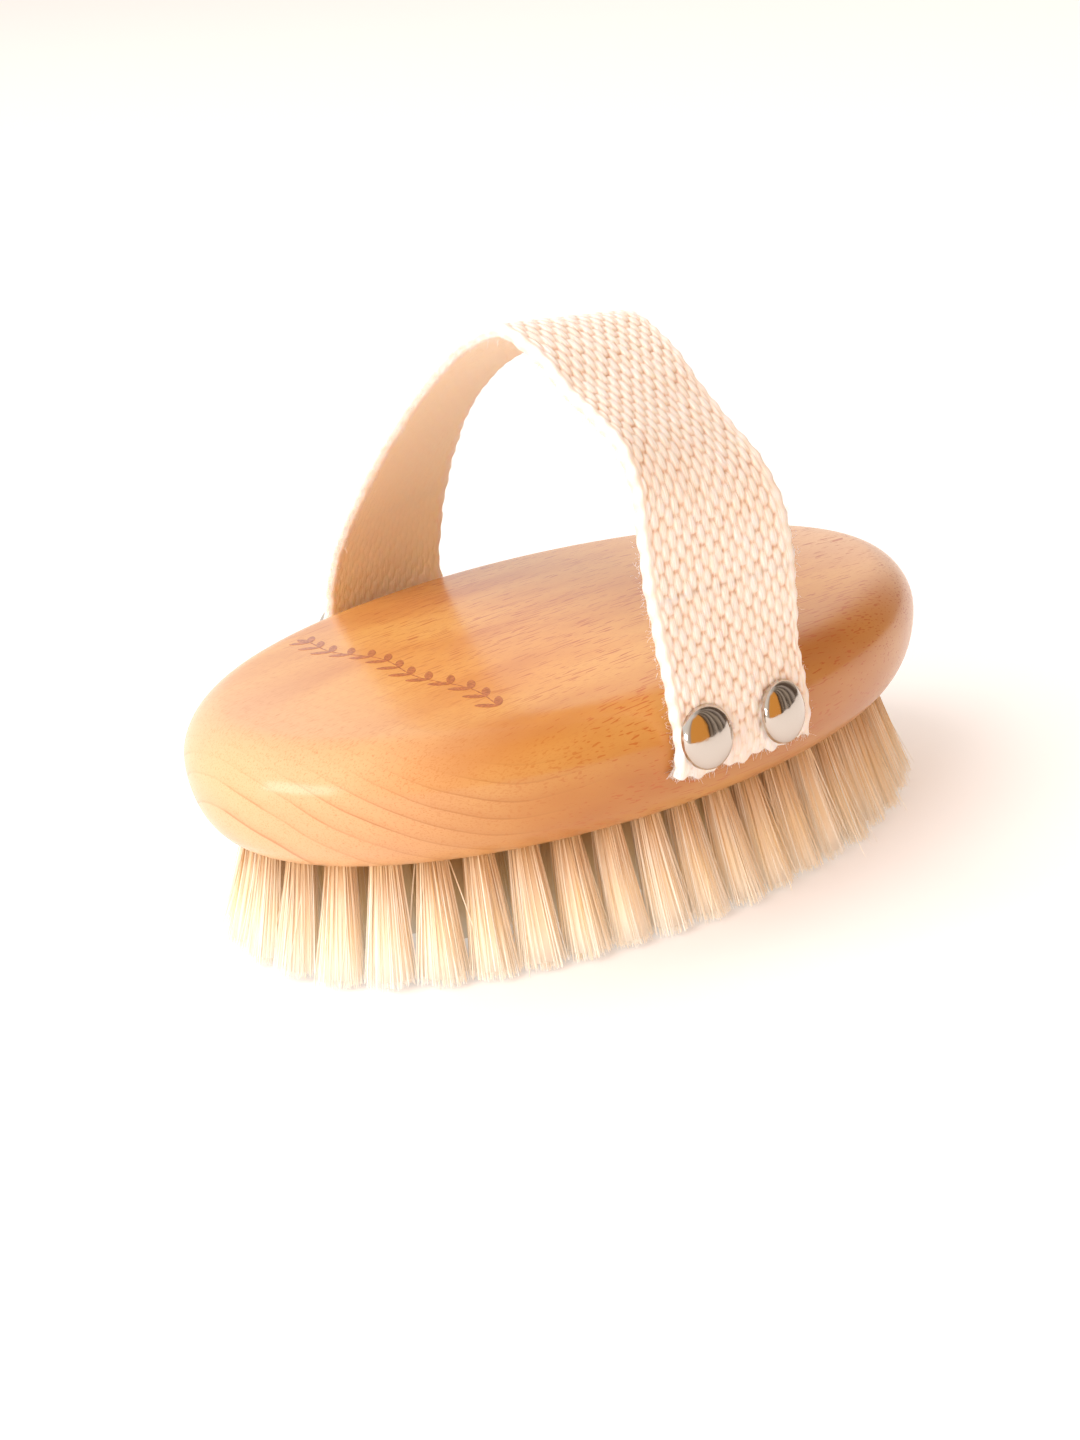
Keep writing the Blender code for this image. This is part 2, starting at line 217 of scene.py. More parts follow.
class StageSettings(bpy.types.PropertyGroup):
    azimuth: FloatProperty(
        name="Azimuth", description="Camera azimuth", default=math.radians(-39.14), subtype="ANGLE"
    )
    elevation: FloatProperty(
        name="Elevation", description="Camera height angle", default=math.radians(19.75), subtype="ANGLE"
    )
    roll: FloatProperty(name="Roll", description="Camera roll", default=math.radians(-5.02), subtype="ANGLE")
    distance: FloatProperty(
        name="Distance", description="Camera distance from its target", default=0.3659, unit="LENGTH"
    )
    lens: FloatProperty(name="Lens", description="Focal length in millimetres", default=59.73, min=10, max=300)
    target: FloatVectorProperty(
        name="Target",
        description="Point that the camera looks at",
        default=(-0.0065, 0, 0.02215),
        subtype="TRANSLATION",
    )


# ---------------------------------------------------------------- shared helpers


def colour(hex_code):
    """An sRGB hex code as linear red, green, blue and alpha."""
    channels = [int(hex_code[start : start + 2], 16) / 255 for start in (1, 3, 5)]
    linear = [c / 12.92 if c <= 0.04045 else ((c + 0.055) / 1.055) ** 2.4 for c in channels]
    return (*linear, 1.0)


def new_material(name):
    material = bpy.data.materials.new(name)
    material.use_nodes = True
    return material, material.node_tree, material.node_tree.nodes["Principled BSDF"]


def add_node(tree, kind, inputs=None, stops=None, **settings):
    """Adds a node with its settings, its sockets' values or links, and a ramp's (position, colour) stops."""
    node = tree.nodes.new(kind)
    for name, value in settings.items():
        setattr(node, name, value)
    for name, value in (inputs or {}).items():
        if isinstance(value, bpy.types.NodeSocket):
            tree.links.new(value, node.inputs[name])
        else:
            node.inputs[name].default_value = value
    for index, (position, shade) in enumerate(stops or ()):
        elements = node.color_ramp.elements
        element = elements[index] if index < len(elements) else elements.new(position)
        element.position = position
        element.color = shade
    return node


def deselect_all():
    if bpy.context.mode != "OBJECT":
        bpy.ops.object.mode_set(mode="OBJECT")
    bpy.ops.object.select_all(action="DESELECT")


def finish_piece(piece, name, material, body):
    """Names a piece, gives it its finish and lets it ride on its body."""
    piece.name = name
    piece.data.name = name
    piece.data.materials.clear()
    piece.data.materials.append(material)
    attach(piece, body)


def mesh_object(name, points, faces):
    mesh = bpy.data.meshes.new(name)
    mesh.from_pydata(points, [], faces)
    mesh.validate()
    item = bpy.data.objects.new(name, mesh)
    bpy.context.scene.collection.objects.link(item)
    return item


def take_shape(item):
    """The points and faces of a modelled shape, whose object is then removed."""
    points = np.array([vertex.co for vertex in item.data.vertices])
    faces = [list(face.vertices) for face in item.data.polygons]
    bpy.data.objects.remove(item, do_unlink=True)
    return points, faces


def add_values(mesh, label, values):
    """Gives each vertex a number that a material reads."""
    attribute = mesh.attributes.new(label, "FLOAT", "POINT")
    attribute.data.foreach_set("value", np.asarray(values, np.float32).reshape(-1))


def smoothstep(low, high, value):
    share = np.clip((value - low) / (high - low), 0, 1)
    return share * share * (3 - 2 * share)


def cad_points(node):
    return np.array([vertex.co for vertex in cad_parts[node].data.vertices])


def stem_places(node):
    """(x, y) of the middle of each stem of a tuft or a row of tufts, from the tops of its CAD solid."""
    points = cad_points(node)
    tops = points[points[:, 2] > points[:, 2].max() - 0.5 * MM]
    tops = tops[np.argsort(tops[:, 0])]
    ends = np.flatnonzero(np.diff(tops[:, 0]) > 1.5 * MM) + 1
    places = []
    for group in np.split(tops, ends):
        low, high = group.min(axis=0), group.max(axis=0)
        places.append((low + high)[:2] / 2)
    return places


# ---------------------------------------------------------------- wooden block


def extrude_to(old, new):
    """Extrudes the selected face from one (half_x, half_y, height) to the next one."""
    bpy.ops.mesh.extrude_region_move(TRANSFORM_OT_translate={"value": (0, 0, new[2] - old[2])})
    bpy.ops.transform.resize(value=(new[0] / old[0], new[1] / old[1], 1), center_override=(0, 0, new[2]))


def block_levels(settings):
    """(half_x, half_y, height) of the block's level outlines, from its underside to its crowned middle."""
    half_x, half_y = BLOCK_HIGH.x, BLOCK_HIGH.y
    widest = BLOCK_LOW.z + settings.widest_height
    shoulder = BLOCK_HIGH.z - settings.crown
    levels = []

    def add(inset, height):
        above = float(smoothstep(widest, shoulder, height))
        flat_x, flat_y = half_x - settings.top_inset, half_y - settings.top_inset
        level_y = half_y - inset
        level_x = half_x - inset if inset <= settings.top_inset else flat_x * level_y / flat_y
        crown = settings.crown * (1 - (level_y / half_y) ** 2) * above
        levels.append((level_x, level_y, height + crown))

    for step in range(settings.edge_steps):
        turn = math.pi / 2 * step / settings.edge_steps
        add(settings.bottom_inset * (1 - math.sin(turn)), widest - settings.widest_height * math.cos(turn))
    for step in range(settings.edge_steps + 1):
        turn = math.pi / 2 * step / settings.edge_steps
        add(settings.top_inset * (1 - math.cos(turn)), widest + (shoulder - widest) * math.sin(turn))
    top_rings = 24
    for step in range(1, top_rings):
        add(settings.top_inset + (half_y - settings.top_inset) * step / top_rings, shoulder)
    return levels


def drill_holes(block, settings):
    """Cuts a blind hole for each tuft with one joined cutter."""
    deselect_all()
    start = BLOCK_LOW.z - 2 * MM
    depth = settings.hole_depth + 2 * MM
    bpy.ops.mesh.primitive_cylinder_add(
        vertices=20, radius=settings.hole_radius, depth=depth, location=(0, 0, start + depth / 2)
    )
    drill = bpy.context.object
    bpy.ops.object.transform_apply(location=True, rotation=True, scale=True)
    places = [place for node in OUTER_TUFTS + INNER_ROWS for place in stem_places(node)]
    holes = bmesh.new()
    for x, y in places:
        first = len(holes.verts)
        holes.from_mesh(drill.data)
        holes.verts.ensure_lookup_table()
        bmesh.ops.translate(holes, verts=holes.verts[first:], vec=(x, y, 0))
    holes.to_mesh(drill.data)
    holes.free()
    cut = block.modifiers.new("Tuft holes", "BOOLEAN")
    cut.operation = "DIFFERENCE"
    cut.solver = "EXACT"
    cut.object = drill
    bpy.context.view_layer.objects.active = block
    bpy.ops.object.modifier_apply(modifier=cut.name)
    bpy.data.objects.remove(drill, do_unlink=True)


def lacquered_beech():
    """Steamed beech, sanded and sprayed with clear satin lacquer: warm orange-tan that is paler towards the
    ends, partly its own tone and partly a painted sheen, and drawn darker towards the front edge as painted
    shade, fine growth rings where the edge cuts them, short dark ray flecks along the grain, and a smooth coat
    that gives soft highlights."""
    material, tree, shader = new_material("Lacquered beech")
    place = add_node(tree, "ShaderNodeTexCoord").outputs["Object"]
    axes = add_node(tree, "ShaderNodeSeparateXYZ", {"Vector": place})

    # Slow drifts of tone, 30 mm along the grain and 9 mm across it.
    drift_place = add_node(tree, "ShaderNodeMapping", {"Vector": place, "Scale": (33, 110, 110)})
    drift = add_node(
        tree, "ShaderNodeTexNoise", {"Vector": drift_place.outputs[0], "Scale": 1.0, "Detail": 2.0}
    )
    tone = add_node(
        tree,
        "ShaderNodeValToRGB",
        {"Fac": drift.outputs["Fac"]},
        stops=((0.32, colour("#cf8a44")), (0.5, colour("#d8984d")), (0.70, colour("#dfa559"))),
    )
    # The wood is paler towards both ends, partly its own tone and partly a painted sheen of the light on the
    # rounded ends.
    from_middle = add_node(tree, "ShaderNodeMath", {0: axes.outputs["X"]}, operation="ABSOLUTE")
    pale = add_node(
        tree,
        "ShaderNodeMapRange",
        {"Value": from_middle.outputs[0], "From Min": 0.030, "From Max": 0.066, "To Min": 0.0, "To Max": 0.85},
        interpolation_type="SMOOTHSTEP",
    )
    end_tone_and_sheen = add_node(
        tree,
        "ShaderNodeMix",
        {0: pale.outputs["Result"], 6: tone.outputs["Color"], 7: colour("#e7b98e")},
        data_type="RGBA",
    )
    # Painted shade: the block is drawn darker towards its front edge, where less of the light falls.
    painted_front_shade = add_node(
        tree,
        "ShaderNodeMapRange",
        {"Value": axes.outputs["Y"], "From Min": -0.040, "From Max": -0.016, "To Min": 0.85, "To Max": 0.0},
        interpolation_type="SMOOTHSTEP",
    )
    front_shaded = add_node(
        tree,
        "ShaderNodeMix",
        {0: painted_front_shade.outputs["Result"], 6: end_tone_and_sheen.outputs[2], 7: colour("#e6e2e2")},
        data_type="RGBA",
        blend_type="MULTIPLY",
    )

    # Growth rings 2.6 mm apart round a pith that crosses 15 mm above the block, so that they sweep down the
    # left end. They show low on that end, where the edge cuts them steeply, and come and go with the tone.
    pith = add_node(
        tree,
        "ShaderNodeMapping",
        {"Vector": place, "Location": (0.027, 0, -0.054), "Rotation": (0.12, 0, 0.10)},
    )
    rings = add_node(
        tree,
        "ShaderNodeTexWave",
        {"Vector": pith.outputs[0], "Scale": 128.0, "Distortion": 3.0, "Detail": 1.5, "Detail Scale": 0.40},
        wave_type="RINGS",
        rings_direction="Y",
        wave_profile="SAW",
    )
    ring_lines = add_node(
        tree,
        "ShaderNodeValToRGB",
        {"Fac": rings.outputs["Fac"]},
        stops=(
            (0.0, (0, 0, 0, 1)),
            (0.55, (0.04, 0.04, 0.04, 1)),
            (0.88, (0.30, 0.30, 0.30, 1)),
            (0.965, (1, 1, 1, 1)),
            (1.0, (0.2, 0.2, 0.2, 1)),
        ),
    )
    low = add_node(
        tree,
        "ShaderNodeMapRange",
        {"Value": axes.outputs["Z"], "From Min": 0.0270, "From Max": 0.0350, "To Min": 0.80, "To Max": 0.10},
        interpolation_type="SMOOTHSTEP",
    )
    left = add_node(
        tree,
        "ShaderNodeMapRange",
        {"Value": axes.outputs["X"], "From Min": -0.042, "From Max": -0.020, "To Min": 1.0, "To Max": 0.05},
        interpolation_type="SMOOTHSTEP",
    )
    cut_steeply = add_node(
        tree, "ShaderNodeMath", {0: low.outputs["Result"], 1: left.outputs["Result"]}, operation="MULTIPLY"
    )
    patchy = add_node(
        tree,
        "ShaderNodeMapRange",
        {"Value": drift.outputs["Fac"], "From Min": 0.42, "From Max": 0.56, "To Min": 0.45, "To Max": 1.0},
    )
    shown = add_node(
        tree, "ShaderNodeMath", {0: cut_steeply.outputs[0], 1: patchy.outputs["Result"]}, operation="MULTIPLY"
    )
    ring_strength = add_node(
        tree, "ShaderNodeMath", {0: ring_lines.outputs["Color"], 1: shown.outputs[0]}, operation="MULTIPLY"
    )
    ringed = add_node(
        tree,
        "ShaderNodeMix",
        {0: ring_strength.outputs[0], 6: front_shaded.outputs[2], 7: colour("#b5733c")},
        data_type="RGBA",
    )

    # Pores: dashes 0.8 mm long and 0.12 mm wide all over.
    pore_place = add_node(tree, "ShaderNodeMapping", {"Vector": place, "Scale": (800, 5400, 5400)})
    pores = add_node(tree, "ShaderNodeTexNoise", {"Vector": pore_place.outputs[0], "Scale": 1.0, "Detail": 1.0})
    pore_mask = add_node(
        tree,
        "ShaderNodeMapRange",
        {"Value": pores.outputs["Fac"], "From Min": 0.57, "From Max": 0.68, "To Min": 0.0, "To Max": 0.46},
    )
    pored = add_node(
        tree,
        "ShaderNodeMix",
        {0: pore_mask.outputs["Result"], 6: ringed.outputs[2], 7: colour("#c57e42")},
        data_type="RGBA",
    )
    # Ray flecks 2.5 mm long and 0.3 mm wide, in loose groups.
    fleck_place = add_node(
        tree, "ShaderNodeMapping", {"Vector": place, "Scale": (300, 3600, 3600), "Rotation": (0, 0, 0.05)}
    )
    flecks = add_node(
        tree, "ShaderNodeTexNoise", {"Vector": fleck_place.outputs[0], "Scale": 1.0, "Detail": 0.0}
    )
    group_place = add_node(tree, "ShaderNodeMapping", {"Vector": place, "Scale": (60, 150, 150)})
    groups = add_node(
        tree, "ShaderNodeTexNoise", {"Vector": group_place.outputs[0], "Scale": 1.0, "Detail": 1.0}
    )
    grouped = add_node(
        tree,
        "ShaderNodeMath",
        {0: groups.outputs["Fac"], 1: 0.30, 2: flecks.outputs["Fac"]},
        operation="MULTIPLY_ADD",
    )
    fleck_mask = add_node(
        tree,
        "ShaderNodeMapRange",
        {"Value": grouped.outputs[0], "From Min": 0.820, "From Max": 0.856, "To Min": 0.0, "To Max": 1.0},
    )
    clear_end = add_node(
        tree,
        "ShaderNodeMapRange",
        {"Value": axes.outputs["X"], "From Min": -0.045, "From Max": -0.015, "To Min": 0.15, "To Max": 1.0},
        interpolation_type="SMOOTHSTEP",
    )
    fleck_strength = add_node(
        tree,
        "ShaderNodeMath",
        {0: fleck_mask.outputs["Result"], 1: clear_end.outputs["Result"]},
        operation="MULTIPLY",
    )
    flecked = add_node(
        tree,
        "ShaderNodeMix",
        {0: fleck_strength.outputs[0], 6: pored.outputs[2], 7: colour("#bd6c32")},
        data_type="RGBA",
    )
    tree.links.new(flecked.outputs[2], shader.inputs["Base Color"])
    shader.inputs["Roughness"].default_value = 0.5
    shader.inputs["Specular IOR Level"].default_value = 0.25
    shader.inputs["Coat Weight"].default_value = 0.75
    shader.inputs["Coat Roughness"].default_value = 0.19
    grain_bump = add_node(
        tree, "ShaderNodeBump", {"Height": pores.outputs["Fac"], "Strength": 0.10, "Distance": 0.0001}
    )
    tree.links.new(grain_bump.outputs["Normal"], shader.inputs["Normal"])
    return material


class BRUSH_OT_block(bpy.types.Operator):
    """Builds the drilled, bull-nosed wooden block"""

    bl_idname = "brush.block"
    bl_label = "Wooden block"

    def execute(self, context):
        settings = context.scene.brush_block
        levels = block_levels(settings)
        deselect_all()
        bpy.ops.mesh.primitive_circle_add(
            vertices=settings.sides, radius=levels[0][0], fill_type="NGON", location=(0, 0, levels[0][2])
        )
        block = context.object
        bpy.ops.object.transform_apply(location=True, rotation=True, scale=True)
        bpy.ops.object.mode_set(mode="EDIT")
        bpy.ops.mesh.select_all(action="SELECT")
        half_x, half_y, height = levels[0]
        bpy.ops.transform.resize(value=(1, half_y / half_x, 1), center_override=(0, 0, height))
        for old, new in zip(levels, levels[1:]):
            extrude_to(old, new)
        bpy.ops.mesh.poke()
        bpy.ops.mesh.select_all(action="SELECT")
        bpy.ops.mesh.normals_make_consistent(inside=False)
        bpy.ops.object.mode_set(mode="OBJECT")
        drill_holes(block, settings)
        finish_piece(block, "block_body", lacquered_beech(), "block")
        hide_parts("wood_block")
        deselect_all()
        block.select_set(True)
        context.view_layer.objects.active = block
        bpy.ops.object.shade_smooth_by_angle(angle=math.radians(40))
        return {"FINISHED"}


# ---------------------------------------------------------------- leaf garland


def top_height(x, y, block):
    """Height of the block's crowned top at each point."""
    flat_x, flat_y = BLOCK_HIGH.x - block.top_inset, BLOCK_HIGH.y - block.top_inset
    level_y = np.sqrt((x / flat_x) ** 2 + (y / flat_y) ** 2) * flat_y
    return BLOCK_HIGH.z - block.crown * (level_y / BLOCK_HIGH.y) ** 2


def make_leaf():
    """One leaf as a thin solid one unit long from (0, 0) along +X, half a unit deep below the surface."""
    deselect_all()
    bpy.ops.mesh.primitive_circle_add(vertices=12, radius=0.5, fill_type="NGON", location=(0.5, 0, -0.5))
    leaf = bpy.context.object
    bpy.ops.object.transform_apply(location=True, rotation=True, scale=True)
    bpy.ops.object.mode_set(mode="EDIT")
    bpy.ops.mesh.select_all(action="SELECT")
    bpy.ops.transform.resize(value=(1, 0.38, 1), center_override=(0.5, 0, -0.5))
    bpy.ops.mesh.extrude_region_move(TRANSFORM_OT_translate={"value": (0, 0, 0.5)})
    bpy.ops.mesh.select_all(action="SELECT")
    bpy.ops.mesh.normals_make_consistent(inside=False)
    bpy.ops.object.mode_set(mode="OBJECT")
    points, faces = take_shape(leaf)
    points[:, 1] *= np.sqrt(np.clip(1 - (2 * points[:, 0] - 1) ** 2, 0, 1)) ** 0.35
    return points, faces


def burnt_wood():
    """Laser-burnt beech under the lacquer: reddish brown, a little rougher than the wood round it."""
    material, tree, shader = new_material("Laser-burnt beech")
    place = add_node(tree, "ShaderNodeTexCoord").outputs["Object"]
    # Scorch mottling 0.4 mm across.
    mottle = add_node(tree, "ShaderNodeTexNoise", {"Vector": place, "Scale": 2500.0, "Detail": 1.0})
    scorch = add_node(
        tree,
        "ShaderNodeValToRGB",
        {"Fac": mottle.outputs["Fac"]},
        stops=((0.35, colour("#9c5426")), (0.65, colour("#bd6f38"))),
    )
    tree.links.new(scorch.outputs["Color"], shader.inputs["Base Color"])
    shader.inputs["Roughness"].default_value = 0.5
    shader.inputs["Coat Weight"].default_value = 0.6
    shader.inputs["Coat Roughness"].default_value = 0.2
    return material


class BRUSH_OT_garland(bpy.types.Operator):
    """Burns a plain leaf garland across the top of the block"""

    bl_idname = "brush.garland"
    bl_label = "Leaf garland"

    def execute(self, context):
        settings = context.scene.brush_garland
        block = context.scene.brush_block
        leaf, leaf_faces = make_leaf()
        points, faces = [], []
        reach = settings.length / 2
        proud, depth, sway = 0.03 * MM, 0.3 * MM, 0.9 * MM
        stations = np.linspace(-reach, reach, settings.pairs)

        def lay(start, heading, length, width):
            turned_x = leaf[:, 0] * length * math.cos(heading) - leaf[:, 1] * width * math.sin(heading)
            turned_y = leaf[:, 0] * length * math.sin(heading) + leaf[:, 1] * width * math.cos(heading)
            x, y = start[0] + turned_x, start[1] + turned_y
            z = top_height(x, y, block) + proud + leaf[:, 2] * depth
            faces.extend([corner + len(leaf) * len(points) for corner in face] for face in leaf_faces)
            points.append(np.column_stack([x, y, z]))

        def stem_x(y):
            return settings.place + sway * math.sin(y / reach * 2.2 * math.pi)

        for y in stations:
            for side in (-1, 1):
                heading = math.pi / 2 - side * math.radians(40)
                lay((stem_x(y), y), heading, settings.leaf_length, settings.leaf_length)
        for first, second in zip(stations, stations[1:]):
            for part in range(3):
                y = first + (second - first) * part / 3
                end_y = first + (second - first) * (part + 1) / 3
                start, end = (stem_x(y), y), (stem_x(end_y), end_y)
                run = math.dist(start, end)
                turn = math.atan2(end[1] - start[1], end[0] - start[0])
                lay(start, turn, run * 1.15, settings.stem_width)
        lay((stem_x(reach), reach), math.pi / 2, settings.leaf_length, settings.leaf_length)
        garland = mesh_object("leaf_garland", np.concatenate(points), faces)
        finish_piece(garland, "leaf_garland", burnt_wood(), "block")
        return {"FINISHED"}


# ---------------------------------------------------------------- bristles


def make_bristle(segments):
    """One bristle: a slim three-sided cone one unit long, from (0, 0, 0) to its tip at (0, 0, 1)."""
    deselect_all()
    bpy.ops.mesh.primitive_cone_add(vertices=3, radius1=1, radius2=0.45, depth=1, location=(0, 0, 0.5))
    bristle = bpy.context.object
    bpy.ops.object.transform_apply(location=True, rotation=True, scale=True)
    bpy.ops.object.mode_set(mode="EDIT")
    for step in range(1, segments):
        bpy.ops.mesh.select_all(action="SELECT")
        bpy.ops.mesh.bisect(plane_co=(0, 0, step / segments), plane_no=(0, 0, 1))
    bpy.ops.object.mode_set(mode="OBJECT")
    return take_shape(bristle)


def make_core():
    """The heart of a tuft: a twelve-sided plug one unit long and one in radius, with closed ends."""
    deselect_all()
    bpy.ops.mesh.primitive_circle_add(vertices=12, radius=1, fill_type="NGON", location=(0, 0, 0))
    core = bpy.context.object
    bpy.ops.object.mode_set(mode="EDIT")
    bpy.ops.mesh.select_all(action="SELECT")
    for _ in range(4):
        bpy.ops.mesh.extrude_region_move(TRANSFORM_OT_translate={"value": (0, 0, 0.25)})
    bpy.ops.mesh.select_all(action="SELECT")
    bpy.ops.mesh.normals_make_consistent(inside=False)
    bpy.ops.object.mode_set(mode="OBJECT")
    return take_shape(core)


def bundle_points(bristle, roots, bends, tips, radius, spin):
    """Lays copies of the bristle along smooth bows from roots, by bends, to tips, all with one row a copy."""
    along = bristle[:, 2][None, :, None]
    starts, middles, ends = roots[:, None], bends[:, None], tips[:, None]
    line = (1 - along) ** 2 * starts + 2 * along * (1 - along) * middles + along**2 * ends
    cos_spin, sin_spin = np.cos(spin)[:, None], np.sin(spin)[:, None]
    section_x = bristle[None, :, 0] * cos_spin - bristle[None, :, 1] * sin_spin
    section_y = bristle[None, :, 0] * sin_spin + bristle[None, :, 1] * cos_spin
    line[:, :, 0] += section_x * radius[:, None]
    line[:, :, 1] += section_y * radius[:, None]
    return line


def tuft_bundle(shapes, stem, tip, tip_radii, heading, strands, settings, rng, stray, tone):
    """One tuft: bristles that fan from the hole to the trimmed tips round a packed heart. Gives its points, its
    faces, each point's tone and painted light level, its height share, and which faces are smooth."""
    (bristle, faces), (core, core_faces) = shapes
    angle = rng.uniform(0, 2 * math.pi, strands)
    reach = np.sqrt(rng.uniform(0, 1, strands))
    disc = np.stack([reach * np.cos(angle), reach * np.sin(angle)], axis=1)
    cos_turn, sin_turn = math.cos(heading), math.sin(heading)
    turn = np.array([[cos_turn, -sin_turn], [sin_turn, cos_turn]])
    root_z = BLOCK_LOW.z + 1.2 * MM
    roots = np.column_stack([stem + disc @ turn.T * 2.0 * MM, np.full(strands, root_z)])
    clumps = rng.normal(0, 0.34 * MM, (7, 2))[rng.integers(0, 7, strands)]
    spread = disc * np.array(tip_radii) + rng.normal(0, 0.16 * MM, (strands, 2)) + clumps
    slope = rng.normal(0, 0.10, 2)
    cut = 0.0002 + np.abs(rng.normal(0, settings.uneven * 0.4, strands))
    cut += np.maximum(0, disc @ slope * 2.4 * MM) + settings.uneven * 0.5 * reach**5
    tips = np.column_stack([tip + spread @ turn.T, cut])
    is_stray = rng.uniform(0, 1, strands) < stray
    tips[is_stray, :2] += rng.normal(0, 1.5 * MM, (is_stray.sum(), 2))
    bends = (roots + tips) / 2
    bends[:, :2] = roots[:, :2] * 0.56 + tips[:, :2] * 0.44
    bends[:, :2] += rng.normal(0, 0.12 * MM, (strands, 2))
    bends[is_stray, :2] += rng.normal(0, 0.9 * MM, (is_stray.sum(), 2))
    radius = settings.strand_radius * rng.uniform(0.75, 1.25, strands)
    points = bundle_points(bristle, roots, bends, tips, radius, rng.uniform(0, 2 * math.pi, strands))
    count = len(bristle)
    all_faces = [[corner + copy * count for corner in face] for copy in range(strands) for face in faces]

    core_root = stem + core[:, :2] @ turn.T * 1.85 * MM
    core_tip = tip + core[:, :2] * np.array(tip_radii) @ turn.T * 0.90
    core_bend = core_root * 0.56 + core_tip * 0.44
    share = core[:, 2:] * 0.93
    across = (1 - share) ** 2 * core_root + 2 * share * (1 - share) * core_bend + share**2 * core_tip
    heart = np.column_stack([across, root_z + share * (0.0004 - root_z)])
    all_faces += [[corner + strands * count for corner in face] for face in core_faces]
    # tone sets how much of the tuft is drawn from the lit ramp rather than the painted-shade ramp; strands vary
    # at random round it.
    tuft_tone_and_light = tone + 0.10 * rng.normal(0, 1)
    shade = np.clip(rng.normal(tuft_tone_and_light, 0.22, strands), 0, 1)
    # The heart is drawn darker than its strands, as painted shade inside the tuft.
    return (
        np.concatenate([points.reshape(-1, 3), heart]),
        all_faces,
        np.concatenate([np.repeat(shade, count), np.full(len(core), tone * 0.7)]),
        np.concatenate([np.tile(bristle[:, 2], strands), core[:, 2]]),
        np.repeat([False, True], [strands * len(faces), len(core_faces)]),
    )


def cream_bristle():
    """Bleached boar bristle, washed and trimmed: stiff cream strands with a waxy sheen, near white at the split
    tips and golden at the roots, partly their own colour and partly painted shade under the block. Strands in
    shade are drawn from a darker painted-shade ramp, and all strands glow faintly with painted light."""
    material, tree, shader = new_material("Cream boar bristle")
    shade = add_node(tree, "ShaderNodeAttribute", attribute_name="strand_tone_and_light")
    along = add_node(tree, "ShaderNodeAttribute", attribute_name="strand_along")
    # Lit strands: golden at the root, partly their own colour and partly painted shade under the block, near
    # white towards the tips.
    light = add_node(
        tree,
        "ShaderNodeValToRGB",
        {"Fac": along.outputs["Fac"]},
        stops=((0.0, colour("#eac384")), (0.40, colour("#fff6e8")), (1.0, colour("#fffdf8"))),
    )
    # Painted shade: the same strands as drawn in the shade between tufts, golden brown at the root.
    dark = add_node(
        tree,
        "ShaderNodeValToRGB",
        {"Fac": along.outputs["Fac"]},
        stops=(
            (0.0, colour("#9a6526")),
            (0.30, colour("#cb9c5e")),
            (0.60, colour("#efd2a0")),
            (1.0, colour("#fbeed8")),
        ),
    )
    mixed = add_node(
        tree,
        "ShaderNodeMix",
        {0: shade.outputs["Fac"], 6: dark.outputs["Color"], 7: light.outputs["Color"]},
        data_type="RGBA",
    )
    tree.links.new(mixed.outputs[2], shader.inputs["Base Color"])
    tree.links.new(mixed.outputs[2], shader.inputs["Emission Color"])
    # Painted glow: a faint emission in the strands' own colour stands in for light that scatters on from strand
    # to strand, which makes a washed tuft glow softly.
    shader.inputs["Emission Strength"].default_value = 0.04
    shader.inputs["Roughness"].default_value = 0.45
    shader.inputs["Specular IOR Level"].default_value = 0.4
    return material


def build_tuft_piece(name, node, bundles, material):
    """Joins bundles of bristles into the piece that stands for one CAD node."""
    points, faces, shades, alongs, smooth, first = [], [], [], [], [], 0
    for bundle_xyz, bundle_faces, shade, along, is_heart in bundles:
        points.append(bundle_xyz)
        faces += [[corner + first for corner in face] for face in bundle_faces]
        shades.append(shade)
        alongs.append(along)
        smooth.append(is_heart)
        first += len(bundle_xyz)
    piece = mesh_object(name, np.concatenate(points), faces)
    for label, values in (("strand_tone_and_light", shades), ("strand_along", alongs)):
        add_values(piece.data, label, np.concatenate(values))
    piece.data.polygons.foreach_set("use_smooth", np.concatenate(smooth))
    finish_piece(piece, name, material, "block")
    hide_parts(node)


def outer_tip(node):
    """(x, y) of the middle of an outer tuft's tips."""
    points = cad_points(node)
    low = points[points[:, 2] < points[:, 2].min() + 0.2 * MM]
    return (low.min(axis=0) + low.max(axis=0))[:2] / 2


class BRUSH_OT_outer_tufts(bpy.types.Operator):
    """Fills each hole of the outer row with a splayed tuft of bristles"""

    bl_idname = "brush.outer_tufts"
    bl_label = "Outer tufts"

    def execute(self, context):
        settings = context.scene.brush_tufts
        shapes = make_bristle(5), make_core()
        material = bpy.data.materials.get("Cream boar bristle") or cream_bristle()
        rng = np.random.default_rng(7)
        half_x, half_y = BLOCK_HIGH.x, BLOCK_HIGH.y
        for number, node in enumerate(OUTER_TUFTS, start=1):
            stem = stem_places(node)[0]
            tip = outer_tip(node)
            normal = Vector((stem[0] / half_x**2, stem[1] / half_y**2)).normalized()
            heading = math.atan2(normal.y, normal.x)
            radii = (2.9 * MM, (3.5 + 0.3 * normal.x**2) * MM)
            strands = settings.outer_strands
            # tone 0.6: the outer tufts mix the lit ramp with some painted shade.
            bundle = tuft_bundle(
                shapes, stem, tip, radii, heading, strands, settings, rng, stray=0.03, tone=0.6
            )
            build_tuft_piece(f"outer_bristles_{number:02d}", node, [bundle], material)
        return {"FINISHED"}


